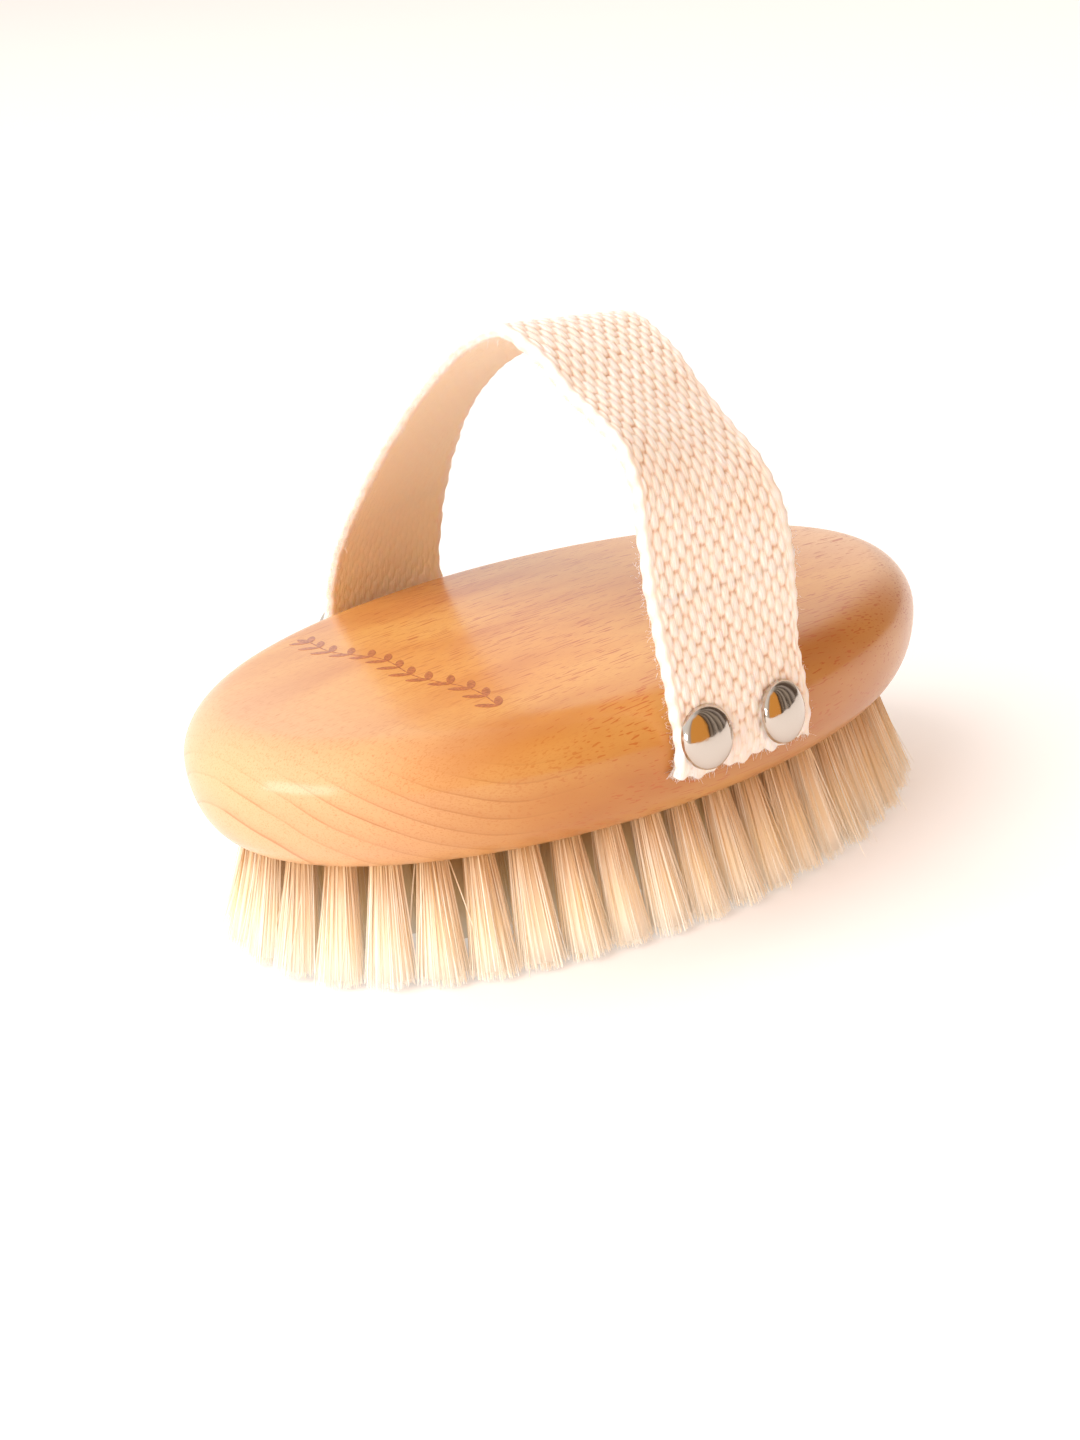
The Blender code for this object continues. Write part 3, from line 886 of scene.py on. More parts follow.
class BRUSH_OT_inner_tufts(bpy.types.Operator):
    """Fills the holes of the inner rows with upright tufts of bristles"""

    bl_idname = "brush.inner_tufts"
    bl_label = "Inner tufts"

    def execute(self, context):
        settings = context.scene.brush_tufts
        shapes = make_bristle(3), make_core()
        material = bpy.data.materials.get("Cream boar bristle") or cream_bristle()
        rng = np.random.default_rng(11)
        radii = (3.4 * MM, 3.5 * MM)
        strands = settings.inner_strands
        for number, node in enumerate(INNER_ROWS, start=1):
            # tone 0.1: painted shade, since the inner tufts, seen only in the gaps between the outer ones, are
            # drawn mostly from the shaded ramp.
            bundles = [
                tuft_bundle(shapes, stem, stem, radii, 0.0, strands, settings, rng, stray=0.0, tone=0.1)
                for stem in stem_places(node)
            ]
            build_tuft_piece(f"inner_bristles_{number}", node, bundles, material)
        return {"FINISHED"}


# ---------------------------------------------------------------- strap


def edge_curve(column):
    """A smooth curve through the stations of one edge: 0 for the left edge, 2 for the right one."""
    knots = np.array([station[column : column + 2] for station in STRAP_STATIONS])
    knots = np.vstack([2 * knots[0] - knots[1], knots, 2 * knots[-1] - knots[-2]])
    steps = 40
    share = np.arange(steps)[:, None] / steps
    curve = []
    for before, start, end, after in zip(knots, knots[1:], knots[2:], knots[3:]):
        curve.append(
            0.5
            * (
                2 * start
                + (end - before) * share
                + (2 * before - 5 * start + 4 * end - after) * share**2
                + (3 * start - before - 3 * end + after) * share**3
            )
        )
    return np.vstack([*curve, knots[-2:-1]])


def resample(curve, length_along, at):
    return np.stack([np.interp(at, length_along, curve[:, axis]) for axis in range(curve.shape[1])], axis=1)


def strap_middle(settings, along, across):
    """Points of the strap's middle surface and its normals, on a grid of rows along and columns across."""
    left, right = edge_curve(0), edge_curve(2)
    middle = (left + right) / 2
    travelled = np.concatenate([[0], np.cumsum(np.linalg.norm(np.diff(middle, axis=0), axis=1))])
    rows = along * travelled[-1]
    left, right = resample(left, travelled, rows), resample(right, travelled, rows)
    share = (across[None, :, None] + 1) / 2
    yz = left[:, None] * (1 - share) + right[:, None] * share
    outline_radius = BLOCK_HIGH.x**2 / BLOCK_HIGH.y
    bulge = (settings.width / 2) ** 2 / (2 * outline_radius) * (1 - across[None] ** 2)
    fade = 1 - smoothstep(0.033, 0.045, yz[..., 1])
    yz[..., 0] += np.sign(yz[..., 0]) * bulge * fade
    centre_x = (END_LOW.x + END_HIGH.x) / 2
    x = np.broadcast_to(centre_x + across[None] * settings.width / 2, yz.shape[:2])
    points = np.stack([x, yz[..., 0], yz[..., 1]], axis=-1)
    down = np.gradient(points, axis=0)
    side = np.gradient(points, axis=1)
    normal = np.cross(side, down)
    normal /= np.linalg.norm(normal, axis=-1, keepdims=True)
    return points, normal, travelled[-1]


def scatter(column, row, seed):
    """A fixed scattered number from 0 to 1 for each warp float."""
    value = np.sin(column * 12.9898 + row * 78.233 + seed * 37.719) * 43758.5453
    return value - np.floor(value)


def weave_height(across_m, along_m, settings, seed, half_width):
    """Relief of the woven face, from 0 in the crevices to 1 on the crests of the floats and the selvedges. The
    floats are staggered like bricks, each a little shifted, tilted and grooved between its two plies."""
    pitch_x, pitch_y = settings.warp_spacing / 2, settings.weft_spacing
    sway = 0.10 * np.sin(along_m / (6.1 * MM) + seed)
    sway = sway + 0.06 * np.sin(along_m / (2.7 * MM) + across_m / (3 * MM))
    u = across_m / pitch_x + sway
    v = along_m / pitch_y + 0.12 * np.sin(across_m / (3.7 * MM) + seed)
    height = np.zeros_like(u)
    column0 = np.round(u)
    for column_step in (-1, 0, 1):
        column = column0 + column_step
        row0 = np.round((v - column) / 2) * 2 + column
        for row_step in (-2, 0, 2):
            row = row0 + row_step
            mark, other = scatter(column, row, seed), scatter(row, column, seed + 5)
            # a and b run from -1 to 1 across and along one float.
            a = (u - column - 0.12 * (mark - 0.5)) / (0.58 + 0.06 * other)
            b = (v - row - 0.20 * (other - 0.5)) / (1.02 + 0.08 * mark)
            a = a + 0.16 * (mark - 0.5) * b
            dome = np.clip(1 - np.abs(a) ** 2.6 - np.abs(b) ** 2.8, 0, 1) ** 0.55
            dome = dome * (1 - 0.10 * np.exp(-((a / 0.16) ** 2)))
            height = np.maximum(height, dome * (0.82 + 0.18 * other))
    selvedge = 1.5 * MM
    from_edge = half_width - np.abs(across_m)
    lumps = 0.86 + 0.14 * np.cos(v * math.pi + np.sign(across_m)) + 0.05 * np.sin(along_m / (2.3 * MM))
    cord = np.sqrt(np.clip(1 - ((from_edge - 0.5 * selvedge) / (0.62 * selvedge)) ** 2, 0, 1)) * lumps
    inside = smoothstep(0.7 * selvedge, 1.05 * selvedge, from_edge)
    return np.maximum(height * inside, cord * 0.95 * (from_edge < 1.15 * selvedge))


def cotton_webbing():
    """Undyed cotton webbing, coarsely woven in thick two-ply yarn: matt and slightly fuzzy, off-white on the
    crests of the floats, with painted shade in the thin crevices between them and painted warm bounce light on
    its inner face."""
    material, tree, shader = new_material("Undyed cotton webbing")
    relief = add_node(tree, "ShaderNodeAttribute", attribute_name="weave_relief")
    inner = add_node(tree, "ShaderNodeAttribute", attribute_name="inner_face")
    laid = add_node(tree, "ShaderNodeUVMap", uv_map="webbing")
    # Painted shade: the colour follows the weave's relief, darker and warmer in the crevices between the
    # floats, white on their crests.
    tint = add_node(
        tree,
        "ShaderNodeValToRGB",
        {"Fac": relief.outputs["Fac"]},
        stops=(
            (0.10, colour("#e3c4ab")),
            (0.42, colour("#f4e4d7")),
            (0.64, colour("#fff7f1")),
            (0.88, colour("#ffffff")),
        ),
    )
    # Ply strands 0.25 mm apart that run along the warp, blotches 3 mm across, and fuzz under 0.2 mm.
    plies = add_node(tree, "ShaderNodeMapping", {"Vector": laid.outputs["UV"], "Scale": (4000, 520, 1)})
    strands = add_node(tree, "ShaderNodeTexNoise", {"Vector": plies.outputs[0], "Scale": 1.0, "Detail": 2.0})
    blotch_place = add_node(tree, "ShaderNodeMapping", {"Vector": laid.outputs["UV"], "Scale": (330, 330, 1)})
    blotches = add_node(tree, "ShaderNodeTexNoise", {"Vector": blotch_place.outputs[0], "Scale": 1.0})
    fuzz_place = add_node(tree, "ShaderNodeMapping", {"Vector": laid.outputs["UV"], "Scale": (6500, 5000, 1)})
    fuzz = add_node(tree, "ShaderNodeTexNoise", {"Vector": fuzz_place.outputs[0], "Scale": 1.0, "Detail": 2.0})
    ply_mask = add_node(
        tree,
        "ShaderNodeMapRange",
        {"Value": strands.outputs["Fac"], "From Min": 0.45, "From Max": 0.70, "To Min": 0.0, "To Max": 0.55},
    )
    plied = add_node(
        tree,
        "ShaderNodeMix",
        {0: ply_mask.outputs["Result"], 6: tint.outputs["Color"], 7: colour("#fff1e6")},
        data_type="RGBA",
    )
    blotched = add_node(
        tree,
        "ShaderNodeMix",
        {0: blotches.outputs["Fac"], 6: plied.outputs[2], 7: colour("#fff8f2")},
        data_type="RGBA",
        blend_type="MULTIPLY",
    )
    # Painted light: the inner face is drawn lighter and warmer, as light bounced from the wood.
    inner_bounce_lit = add_node(
        tree,
        "ShaderNodeMix",
        {0: inner.outputs["Fac"], 6: blotched.outputs[2], 7: colour("#fff6e2")},
        data_type="RGBA",
    )
    tree.links.new(inner_bounce_lit.outputs[2], shader.inputs["Base Color"])
    ply_bump = add_node(
        tree, "ShaderNodeBump", {"Height": strands.outputs["Fac"], "Strength": 0.6, "Distance": 0.00014}
    )
    fuzz_bump = add_node(
        tree,
        "ShaderNodeBump",
        {
            "Height": fuzz.outputs["Fac"],
            "Strength": 0.4,
            "Distance": 0.00006,
            "Normal": ply_bump.outputs["Normal"],
        },
    )
    tree.links.new(fuzz_bump.outputs["Normal"], shader.inputs["Normal"])
    shader.inputs["Subsurface Weight"].default_value = 0.35
    shader.inputs["Subsurface Radius"].default_value = (1.0, 0.70, 0.45)
    shader.inputs["Subsurface Scale"].default_value = 0.0009
    shader.inputs["Roughness"].default_value = 0.92
    shader.inputs["Specular IOR Level"].default_value = 0.2
    shader.inputs["Sheen Weight"].default_value = 0.25
    shader.inputs["Sheen Roughness"].default_value = 0.5
    return material


def strap_grid(settings):
    """The whole strap as rows of a closed section: outer face, right edge, inner face, left edge. It gives five
    lists, with one entry a vertex: the points, relief, inner face, across and along."""
    columns, rows = 104, 660
    across = np.linspace(-1, 1, columns + 1)
    across = np.sin(across * math.pi / 2) * 0.16 + across * 0.84
    along = np.linspace(0, 1, rows + 1)
    middle, normal, length = strap_middle(settings, along, across)
    half = settings.width / 2
    across_m = np.broadcast_to(across[None] * half, middle.shape[:2])
    along_m = np.broadcast_to(along[:, None] * length, middle.shape[:2])
    rim = settings.thickness * 0.62
    inward = np.clip((half - np.abs(across_m)) / rim, 0, 1)
    round_edge = np.sqrt(1 - (1 - inward) ** 2)
    outer_relief = weave_height(across_m, along_m, settings, 1.7, half)
    inner_relief = weave_height(across_m, along_m, settings, 4.9, half)
    from_end = np.minimum(along_m, length - along_m)
    worn = 1 - 0.55 * (1 - smoothstep(0.0, 7 * MM, from_end))
    outer_relief = outer_relief * worn + 0.85 * (1 - worn)
    edge_share = np.abs(across[None]) ** 10
    # The edges are scalloped by the weft, and the right one bulges and pinches where the strap has been bent.
    scallop = 0.14 * MM * np.cos(along_m / settings.weft_spacing * math.pi)
    scallop = scallop + 0.10 * MM * np.sin(along_m / (1.3 * MM))
    pinch = 0.9 * MM * np.exp(-(((middle[..., 2] - 0.038) / 0.005) ** 2)) * (across_m > 0)
    pinch -= 1.1 * MM * np.exp(-(((middle[..., 2] - 0.056) / 0.011) ** 2)) * (across_m > 0)
    sideways = np.sign(across_m) * (scallop - pinch) * edge_share
    ragged = 0.35 * MM * np.sin(across_m / (1.1 * MM)) + 0.25 * MM * np.sin(across_m / (0.43 * MM) + 1)
    drop = np.where(from_end < 2 * MM, (2 * MM - from_end) / (2 * MM), 0) * ragged
    middle = middle + np.stack([sideways, 0 * drop, drop], axis=-1)
    thick = settings.thickness / 2
    outer = middle + normal * ((thick + settings.relief * outer_relief) * round_edge)[..., None]
    inner = middle - normal * ((thick + settings.relief * 0.45 * inner_relief) * round_edge)[..., None]
    from_edge = half - np.abs(across_m) + 0.3 * MM * np.sin(along_m / (0.62 * MM))
    inner_face = smoothstep(1.0 * MM, 1.9 * MM, from_edge)
    # The inner face's colour reads its relief no lower than 0.55, which lightens its painted crevice shade.
    values = (
        (outer, inner),
        (outer_relief, np.maximum(inner_relief, 0.55)),
        (0 * outer_relief, 0.9 * inner_face),
        (across_m, across_m + settings.width * 1.5),
        (along_m, along_m),
    )
    rings = [np.concatenate([out, back[:, -2:0:-1]], axis=1) for out, back in values]
    return rings, length


def level_row(rings, row, height):
    """Slides the rows near one row along the strap, so that this row lies level at a height."""
    reach = 80
    rows = np.arange(row - reach, row + reach + 1)
    near = np.dstack(rings)[rows]
    smooth = np.array([np.polyval(fit, rows) for fit in np.polyfit(rows, near[..., 2], 3).T])
    order = slice(None) if smooth[0, -1] > smooth[0, 0] else slice(None, None, -1)
    crossing = np.array([np.interp(height, column[order], rows[order]) for column in smooth])
    x, y = near[reach, :, 0] / MM, near[reach, :, 1] / MM
    terms = np.stack([np.ones_like(x), x, x**2, x**3, y], axis=1)
    slide = terms @ np.linalg.lstsq(terms, crossing - row, rcond=None)[0]
    fade = 0.5 + 0.5 * np.cos((rows - row) / reach * math.pi)
    for column, shift in enumerate(slide):
        moved = rows + shift * fade
        fresh = [np.interp(moved, rows, channel) for channel in near[:, column].T]
        rings[0][rows, column] = np.stack(fresh[:3], axis=-1)
        for values, channel in zip(rings[1:], fresh[3:]):
            values[rows, column] = channel


def grid_normals(points):
    """Smooth normals of rows of closed sections."""
    down = np.gradient(points, axis=0)
    around = np.roll(points, -1, axis=1) - np.roll(points, 1, axis=1)
    normal = np.cross(around, down)
    return normal / np.maximum(np.linalg.norm(normal, axis=-1, keepdims=True), 1e-12)


def strap_piece(name, rings, first, last):
    """A length of the strap from one row to another, closed at both ends and shaded as the whole strap is."""
    normals = grid_normals(rings[0])[first : last + 1]
    points, relief, inner_face, uv_across, uv_along = (values[first : last + 1] for values in rings)
    rows, ring = points.shape[:2]
    index = np.arange(rows * ring).reshape(rows, ring)
    after = np.roll(index, -1, axis=1)
    faces = np.stack([index[:-1], after[:-1], after[1:], index[1:]], axis=-1).reshape(-1, 4).tolist()
    for row, is_first in ((index[0], True), (index[-1], False)):
        for step in range(ring // 2):
            corners = (row[step], row[step + 1], row[ring - step - 1], row[(ring - step) % ring])
            corners = list(dict.fromkeys(int(corner) for corner in corners))
            faces.append(corners[::-1] if is_first else corners)
    piece = mesh_object(name, points.reshape(-1, 3), faces)
    mesh = piece.data
    for label, values in (("weave_relief", relief), ("inner_face", inner_face)):
        add_values(mesh, label, values)
    uv_map = mesh.uv_layers.new(name="webbing")
    corner_vertex = np.empty(len(mesh.loops), np.int32)
    mesh.loops.foreach_get("vertex_index", corner_vertex)
    uv = np.stack([uv_across.reshape(-1)[corner_vertex], uv_along.reshape(-1)[corner_vertex]], axis=1)
    uv_map.data.foreach_set("uv", uv.astype(np.float32).reshape(-1))
    mesh.shade_smooth()
    mesh.normals_split_custom_set_from_vertices(normals.reshape(-1, 3).tolist())
    return piece


def make_fibres(name, points, first, last, has_end, rng):
    """Loose cotton fibres along both edges of one length of the strap and along its raw end, if it has one."""
    fibre, faces = make_bristle(3)
    sides = points.shape[1] // 2
    centre = points[:, :sides].mean(axis=1)
    edge_count = int((last - first) * 4.5)
    row = rng.integers(first, last, edge_count)
    side = rng.integers(0, 2, edge_count)
    start = np.where(side[:, None] == 0, points[row, -1], points[row, sides])
    outward = start - centre[row]
    outward /= np.linalg.norm(outward, axis=1, keepdims=True)
    start = start - outward * rng.uniform(0.05, 0.35, (edge_count, 1)) * MM
    start = start + rng.normal(0, 0.35 * MM, (edge_count, 3))
    aim = outward * 0.8 + rng.normal(0, 0.55, (edge_count, 3))
    length = rng.gamma(2.0, 0.16 * MM, edge_count) + 0.2 * MM
    if has_end:
        end_row = first if first == 0 else last
        step = 1 if first == 0 else -1
        end_count = 900
        # Seven in ten stand anywhere along the end and the rest near its left corner, which frays most.
        is_even = rng.uniform(0, 1, end_count) < 0.7
        place = np.where(is_even, rng.uniform(0, 1, end_count), rng.beta(0.6, 6, end_count))
        low = (place * sides).astype(int).clip(0, sides - 1)
        depth = rng.uniform(0, 1, (end_count, 1))
        end_start = points[end_row, low] * (1 - depth) + points[end_row, -1 - low] * depth
        up = points[end_row + 4 * step, low] - points[end_row, low]
        up /= np.linalg.norm(up, axis=1, keepdims=True)
        corner = np.clip(1 - place * 7, 0, 1)[:, None] * rng.uniform(0, 1, (end_count, 1))
        end_aim = -0.9 * up + rng.normal(0, 0.5, (end_count, 3)) - corner * np.array([1.5, 0, 0])
        end_start += up * rng.uniform(0.2, 2.2, (end_count, 1)) * MM * (0.3 + corner)
        start, aim = np.concatenate([start, end_start]), np.concatenate([aim, end_aim])
        length = np.concatenate([length, rng.gamma(2.2, 0.19 * MM, end_count) + 0.25 * MM])
    count = len(start)
    aim /= np.linalg.norm(aim, axis=1, keepdims=True)
    tips = start + aim * length[:, None]
    bends = (start + tips) / 2 + rng.normal(0, 0.16 * MM, (count, 3))
    fibres = bundle_points(fibre, start, bends, tips, rng.uniform(0.03, 0.055, count) * MM, np.zeros(count))
    size = len(fibre)
    all_faces = [[index + copy * size for index in face] for copy in range(count) for face in faces]
    piece = mesh_object(name, fibres.reshape(-1, 3), all_faces)
    add_values(piece.data, "weave_relief", np.full(len(piece.data.vertices), 0.9))
    piece.data.shade_smooth()
    return piece


class BRUSH_OT_strap(bpy.types.Operator):
    """Weaves the cotton webbing strap in its three lengths, with loose fibres at its raw ends"""

    bl_idname = "brush.strap"
    bl_label = "Webbing strap"

    def execute(self, context):
        settings = context.scene.brush_strap
        rings, length = strap_grid(settings)
        heights = rings[0][:, :, 2].mean(axis=1)
        rows = len(heights)
        above = np.flatnonzero(heights > settings.seam_height)
        first, last = int(above[0]), int(above[-1])
        for row in (first, last):
            level_row(rings, row, settings.seam_height)
        material = cotton_webbing()
        rng = np.random.default_rng(5)
        lengths = (
            ("strap_front_length", 0, first, ("strap_front_end",)),
            ("strap_arch", first, last, ("strap_front_leg", "strap_crown", "strap_rear_leg")),
            ("strap_rear_length", last, rows - 1, ("strap_rear_end",)),
        )
        for name, start, end, nodes in lengths:
            piece = strap_piece(name, rings, start, end)
            is_arch = name == "strap_arch"
            fibres = make_fibres(name + "_fibres", rings[0], start, end, not is_arch, rng)
            for cotton in (piece, fibres):
                cotton.data.materials.append(material)
                if is_arch:
                    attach(cotton, "strap_loop")
                    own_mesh(cotton)
                else:
                    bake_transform(cotton)
            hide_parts(*nodes)
        return {"FINISHED"}


# ---------------------------------------------------------------- nails


def polished_nickel():
    """Nickel-plated steel, stamped into a dome and tumbled bright: a warm grey mirror with faint marks."""
    material, tree, shader = new_material("Polished nickel plate")
    place = add_node(tree, "ShaderNodeTexCoord").outputs["Object"]
    # Handling marks 0.7 mm across and shallow dents 2 mm across.
    marks = add_node(
        tree, "ShaderNodeTexNoise", {"Vector": place, "Scale": 1400.0, "Detail": 3.0, "Roughness": 0.6}
    )
    polish = add_node(
        tree,
        "ShaderNodeMapRange",
        {"Value": marks.outputs["Fac"], "From Min": 0.35, "From Max": 0.75, "To Min": 0.06, "To Max": 0.16},
    )
    tree.links.new(polish.outputs["Result"], shader.inputs["Roughness"])
    shader.inputs["Base Color"].default_value = colour("#cfc6bd")
    shader.inputs["Metallic"].default_value = 1.0
    dents = add_node(tree, "ShaderNodeTexNoise", {"Vector": place, "Scale": 520.0, "Detail": 1.0})
    uneven = add_node(
        tree, "ShaderNodeBump", {"Height": dents.outputs["Fac"], "Strength": 0.12, "Distance": 0.0004}
    )
    tree.links.new(uneven.outputs["Normal"], shader.inputs["Normal"])
    return material


def nail_frame(node):
    """The top of a nail's head, its direction out of the wood and its length, from its CAD solid."""
    points = cad_points(node)
    point = Vector(points[np.argmin(np.abs(points[:, 1]))])
    crown = Vector(points[np.argmax(np.abs(points[:, 1]))])
    return crown, (crown - point).normalized(), (crown - point).length


class BRUSH_OT_nails(bpy.types.Operator):
    """Turns one dome-head nail and sets a copy of it in each place"""

    bl_idname = "brush.nails"
    bl_label = "Dome-head nails"

    def execute(self, context):
        settings = context.scene.brush_nails
        material = polished_nickel()
        length = nail_frame(NAILS[0])[2]
        radius, dome, shank = settings.head_radius, settings.dome_height, settings.shank_radius
        rim, point_radius, point_length = 0.45 * MM, 0.05 * MM, 2.5 * MM
        low = dome - length
        steps = [(point_radius, low), (shank, low + point_length), (shank, -rim)]
        steps += [(radius * 0.97, -rim), (radius, 0.08 * MM - rim)]
        dome_steps = 15
        for step in range(dome_steps):
            turn = math.pi / 2 * step / dome_steps
            steps.append((radius * math.cos(turn), (dome - rim) * math.sin(turn)))
        deselect_all()
        bpy.ops.mesh.primitive_circle_add(
            vertices=settings.steps, radius=point_radius, fill_type="NGON", location=(0, 0, low)
        )
        nail = context.object
        bpy.ops.object.transform_apply(location=True, rotation=True, scale=True)
        bpy.ops.object.mode_set(mode="EDIT")
        bpy.ops.mesh.select_all(action="SELECT")
        levels = [(reach, reach, height) for reach, height in steps]
        for old, new in zip(levels, levels[1:]):
            extrude_to(old, new)
        bpy.ops.mesh.poke()
        bpy.ops.mesh.select_all(action="SELECT")
        bpy.ops.mesh.normals_make_consistent(inside=False)
        bpy.ops.object.mode_set(mode="OBJECT")
        bpy.ops.object.shade_smooth_by_angle(angle=math.radians(38))
        for node in NAILS:
            crown, axis, _ = nail_frame(node)
            copy = bpy.data.objects.new(node, nail.data.copy())
            context.scene.collection.objects.link(copy)
            # No nail is driven quite square: the heads look a little up and towards the block's right end.
            driven = axis.copy()
            askew = math.radians(9 if "right" in node else 4)
            driven.rotate(Matrix.Rotation(-askew if axis.y > 0 else askew, 3, "Z"))
            driven.z += math.sin(math.radians(8))
            driven.normalize()
            turn = driven.to_track_quat("Z", "Y").to_matrix().to_4x4()
            copy.data.transform(Matrix.Translation(crown - axis * dome) @ turn)
            finish_piece(copy, f"{node}_polished", material, "block")
            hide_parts(node)
        bpy.data.objects.remove(nail, do_unlink=True)
        return {"FINISHED"}


# ---------------------------------------------------------------- stage


def pale_floor():
    """White studio board, lit from within like a light table, so that it stays plain and pale."""
    material, _, shader = new_material("White light table")
    shader.inputs["Base Color"].default_value = colour("#e8e6e4")
    shader.inputs["Roughness"].default_value = 0.9
    shader.inputs["Emission Color"].default_value = colour("#fdfdff")
    shader.inputs["Emission Strength"].default_value = 0.31
    return material


def studio_room():
    """A plain white room, bright behind and to the left, with a warm screen in front and dark ones on the
    right."""
    world = bpy.data.worlds.new("Studio room")
    world.use_nodes = True
    tree = world.node_tree
    facing = add_node(tree, "ShaderNodeTexCoord").outputs["Generated"]
    axes = add_node(tree, "ShaderNodeSeparateXYZ", {"Vector": facing})
    toward = add_node(tree, "ShaderNodeMath", {0: axes.outputs["Y"], 1: -1.0}, operation="MULTIPLY")
    heading = add_node(
        tree, "ShaderNodeMath", {0: axes.outputs["X"], 1: toward.outputs[0]}, operation="ARCTAN2"
    )
    turn = add_node(
        tree,
        "ShaderNodeMapRange",
        {"Value": heading.outputs[0], "From Min": -math.pi, "From Max": math.pi},
    )
    # Headings in degrees, from -Y towards +X, and the colour of the wall or screen that stands there.
    walls = (
        (-180, "#fbf9f7"),
        (-110, "#f4f1ee"),
        (-70, "#efe6dc"),
        (-46, "#b7a594"),
        (-36, "#eda450"),
        (22, "#eaa04c"),
        (26, "#3a2a1e"),
        (34, "#a08d7c"),
        (37, "#33281f"),
        (44, "#c5b5a6"),
        (47, "#3b2f27"),
        (56, "#b9a999"),
        (60, "#43372f"),
        (70, "#b8aaa0"),
        (76, "#57483e"),
        (88, "#6a5a4e"),
        (100, "#b8a898"),
        (118, "#fbf6f0"),
        (180, "#fbf9f7"),
    )
    room = add_node(
        tree,
        "ShaderNodeValToRGB",
        {"Fac": turn.outputs["Result"]},
        stops=[((degrees + 180) / 360, colour(shade)) for degrees, shade in walls],
    )
    ceiling = add_node(
        tree,
        "ShaderNodeValToRGB",
        {"Fac": turn.outputs["Result"]},
        stops=(
            (0.0, colour("#e6e2dd")),
            (0.28, colour("#f6f2ee")),
            (0.60, colour("#bfb6ad")),
            (1.0, colour("#e6e2dd")),
        ),
    )
    height = add_node(
        tree,
        "ShaderNodeMapRange",
        {"Value": axes.outputs["Z"], "From Min": 0.90, "From Max": 0.99},
        interpolation_type="SMOOTHSTEP",
    )
    mixed = add_node(
        tree,
        "ShaderNodeMix",
        {0: height.outputs["Result"], 6: room.outputs["Color"], 7: ceiling.outputs["Color"]},
        data_type="RGBA",
    )
    # The screens light the object and show in its nails. Beyond the floor's edge stands a plain pale wall.
    seen = add_node(tree, "ShaderNodeLightPath")
    plain = add_node(
        tree,
        "ShaderNodeMix",
        {0: seen.outputs["Is Camera Ray"], 6: mixed.outputs[2], 7: colour("#faf8f6")},
        data_type="RGBA",
    )
    background = tree.nodes["Background"]
    tree.links.new(plain.outputs[2], background.inputs["Color"])
    background.inputs["Strength"].default_value = 1.1
    return world


def add_window(name, heading, elevation, distance, width, height, radiance, tint):
    """A rectangular soft light that faces the object, at a heading from -Y towards +X and an elevation, both in
    degrees."""
    heading, elevation = math.radians(heading), math.radians(elevation)
    level = math.cos(elevation)
    toward = Vector((math.sin(heading) * level, -math.cos(heading) * level, math.sin(elevation)))
    light = bpy.data.lights.new(name, "AREA")
    light.shape = "RECTANGLE"
    light.size, light.size_y = width, height
    light.energy = math.pi * width * height * radiance
    light.color = colour(tint)[:3]
    lamp = bpy.data.objects.new(name, light)
    lamp.location = Vector((0, 0, 0.03)) + toward * distance
    lamp.rotation_euler = (-toward).to_track_quat("-Z", "Y").to_euler()
    bpy.context.scene.collection.objects.link(lamp)
    return lamp


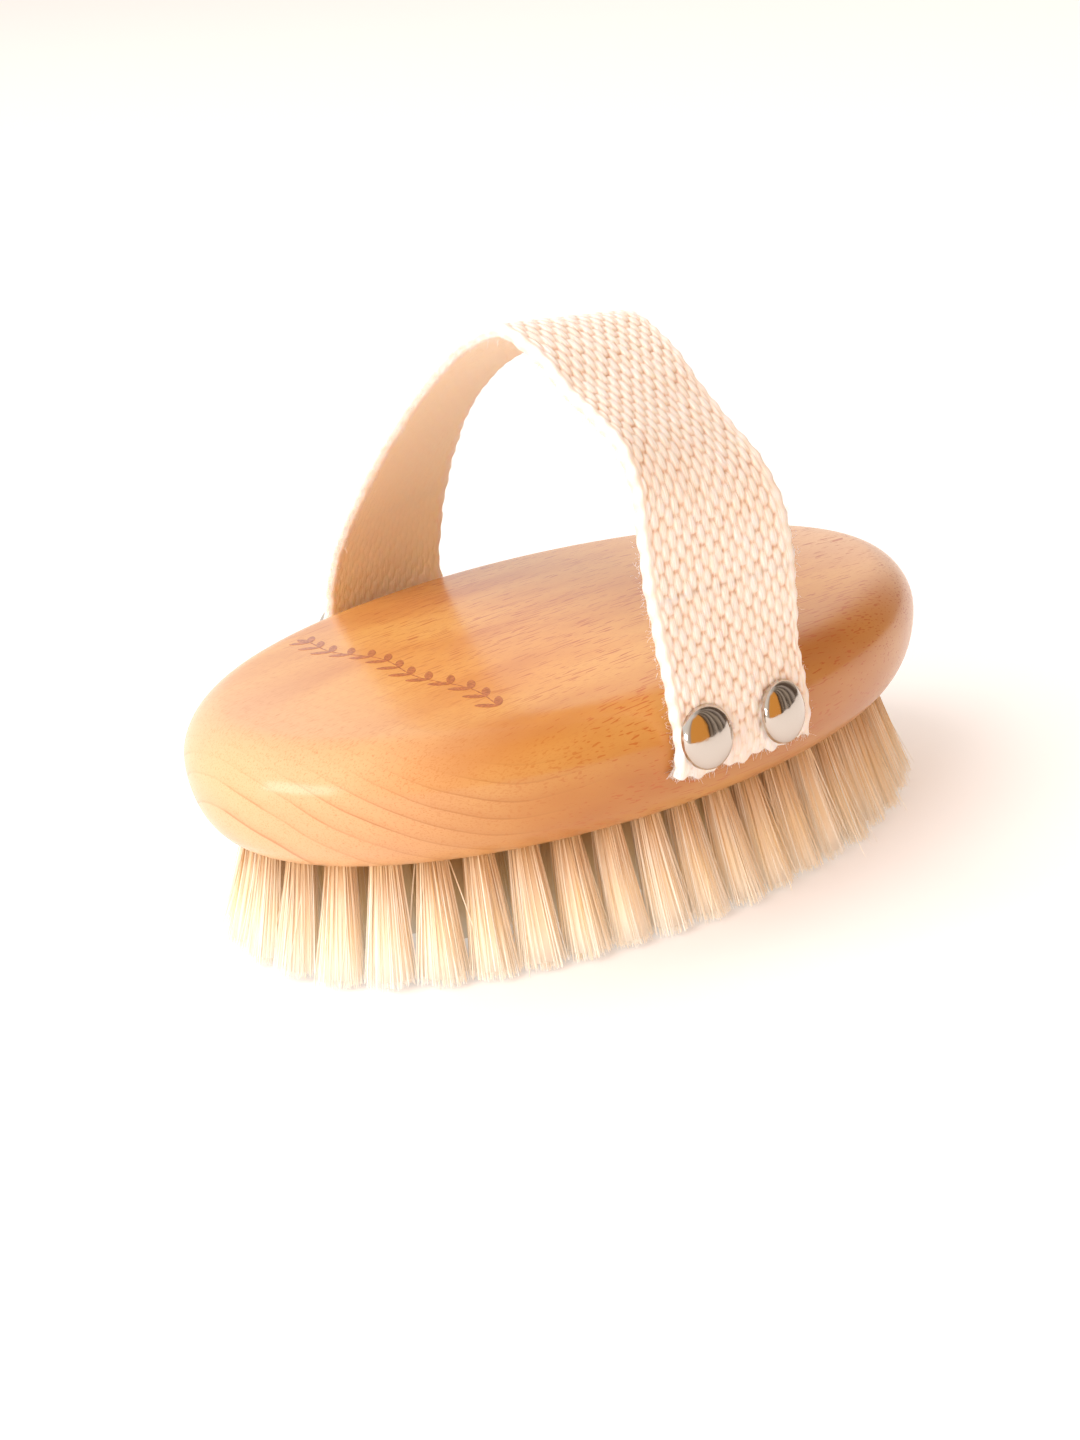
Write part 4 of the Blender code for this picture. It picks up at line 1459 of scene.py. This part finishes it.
class BRUSH_OT_stage(bpy.types.Operator):
    """Sets up the camera, the pale floor and the soft studio light"""

    bl_idname = "brush.stage"
    bl_label = "Stage"

    def execute(self, context):
        settings = context.scene.brush_stage
        azimuth, elevation, roll = settings.azimuth, settings.elevation, settings.roll
        back = Vector(
            (
                math.sin(azimuth) * math.cos(elevation),
                -math.cos(azimuth) * math.cos(elevation),
                math.sin(elevation),
            )
        )
        level_right = (-back).cross(Vector((0, 0, 1))).normalized()
        level_up = level_right.cross(-back)
        right = level_right * math.cos(roll) + level_up * math.sin(roll)
        up = -level_right * math.sin(roll) + level_up * math.cos(roll)
        camera_data = bpy.data.cameras.new("Studio camera")
        camera_data.lens = settings.lens
        camera_data.dof.use_dof = False
        camera = bpy.data.objects.new("Studio camera", camera_data)
        place = Vector(settings.target) + back * settings.distance
        camera.matrix_world = Matrix.Translation(place) @ Matrix((right, up, back)).transposed().to_4x4()
        context.scene.collection.objects.link(camera)
        context.scene.camera = camera

        deselect_all()
        bpy.ops.mesh.primitive_plane_add(size=12, location=(0, 0, CAD_BOX[0][2]))
        floor = context.object
        floor.name = "Floor"
        floor.data.materials.append(pale_floor())

        context.scene.world = studio_room()
        add_window("Left window", -86, 15, 2.0, 1.30, 0.62, 6.0, "#fffcfa")
        # The sky fills in the shadows and isn't mirrored in the lacquer.
        sky = add_window("Soft sky", -98, 52, 3.0, 3.2, 2.5, 2.3, "#fffdfc")
        sky.visible_glossy = False
        context.scene.view_settings.view_transform = "Standard"
        context.scene.view_settings.look = "None"
        return {"FINISHED"}


class BRUSH_PT_panel(bpy.types.Panel):
    """Lists the brush's pieces in the sidebar"""

    bl_label = "Body Dry Brush"
    bl_idname = "BRUSH_PT_panel"
    bl_space_type = "VIEW_3D"
    bl_region_type = "UI"
    bl_category = "Brush"

    def draw(self, context):
        for operator in OPERATORS:
            self.layout.operator(operator.bl_idname)


SETTINGS = (
    ("brush_block", BlockSettings),
    ("brush_garland", GarlandSettings),
    ("brush_strap", StrapSettings),
    ("brush_nails", NailSettings),
    ("brush_tufts", TuftSettings),
    ("brush_stage", StageSettings),
)
OPERATORS = (
    BRUSH_OT_stage,
    BRUSH_OT_block,
    BRUSH_OT_garland,
    BRUSH_OT_strap,
    BRUSH_OT_nails,
    BRUSH_OT_outer_tufts,
    BRUSH_OT_inner_tufts,
)


def register():
    for name, group in SETTINGS:
        bpy.utils.register_class(group)
        setattr(bpy.types.Scene, name, PointerProperty(type=group))
    for operator in OPERATORS:
        bpy.utils.register_class(operator)
    bpy.utils.register_class(BRUSH_PT_panel)


def unregister():
    bpy.utils.unregister_class(BRUSH_PT_panel)
    for operator in reversed(OPERATORS):
        bpy.utils.unregister_class(operator)
    for name, group in reversed(SETTINGS):
        delattr(bpy.types.Scene, name)
        bpy.utils.unregister_class(group)


def main():
    register()
    bpy.ops.brush.stage()
    bpy.ops.brush.block()
    bpy.ops.brush.garland()
    bpy.ops.brush.strap()
    bpy.ops.brush.nails()
    bpy.ops.brush.outer_tufts()
    bpy.ops.brush.inner_tufts()


if __name__ == "__main__":
    main()
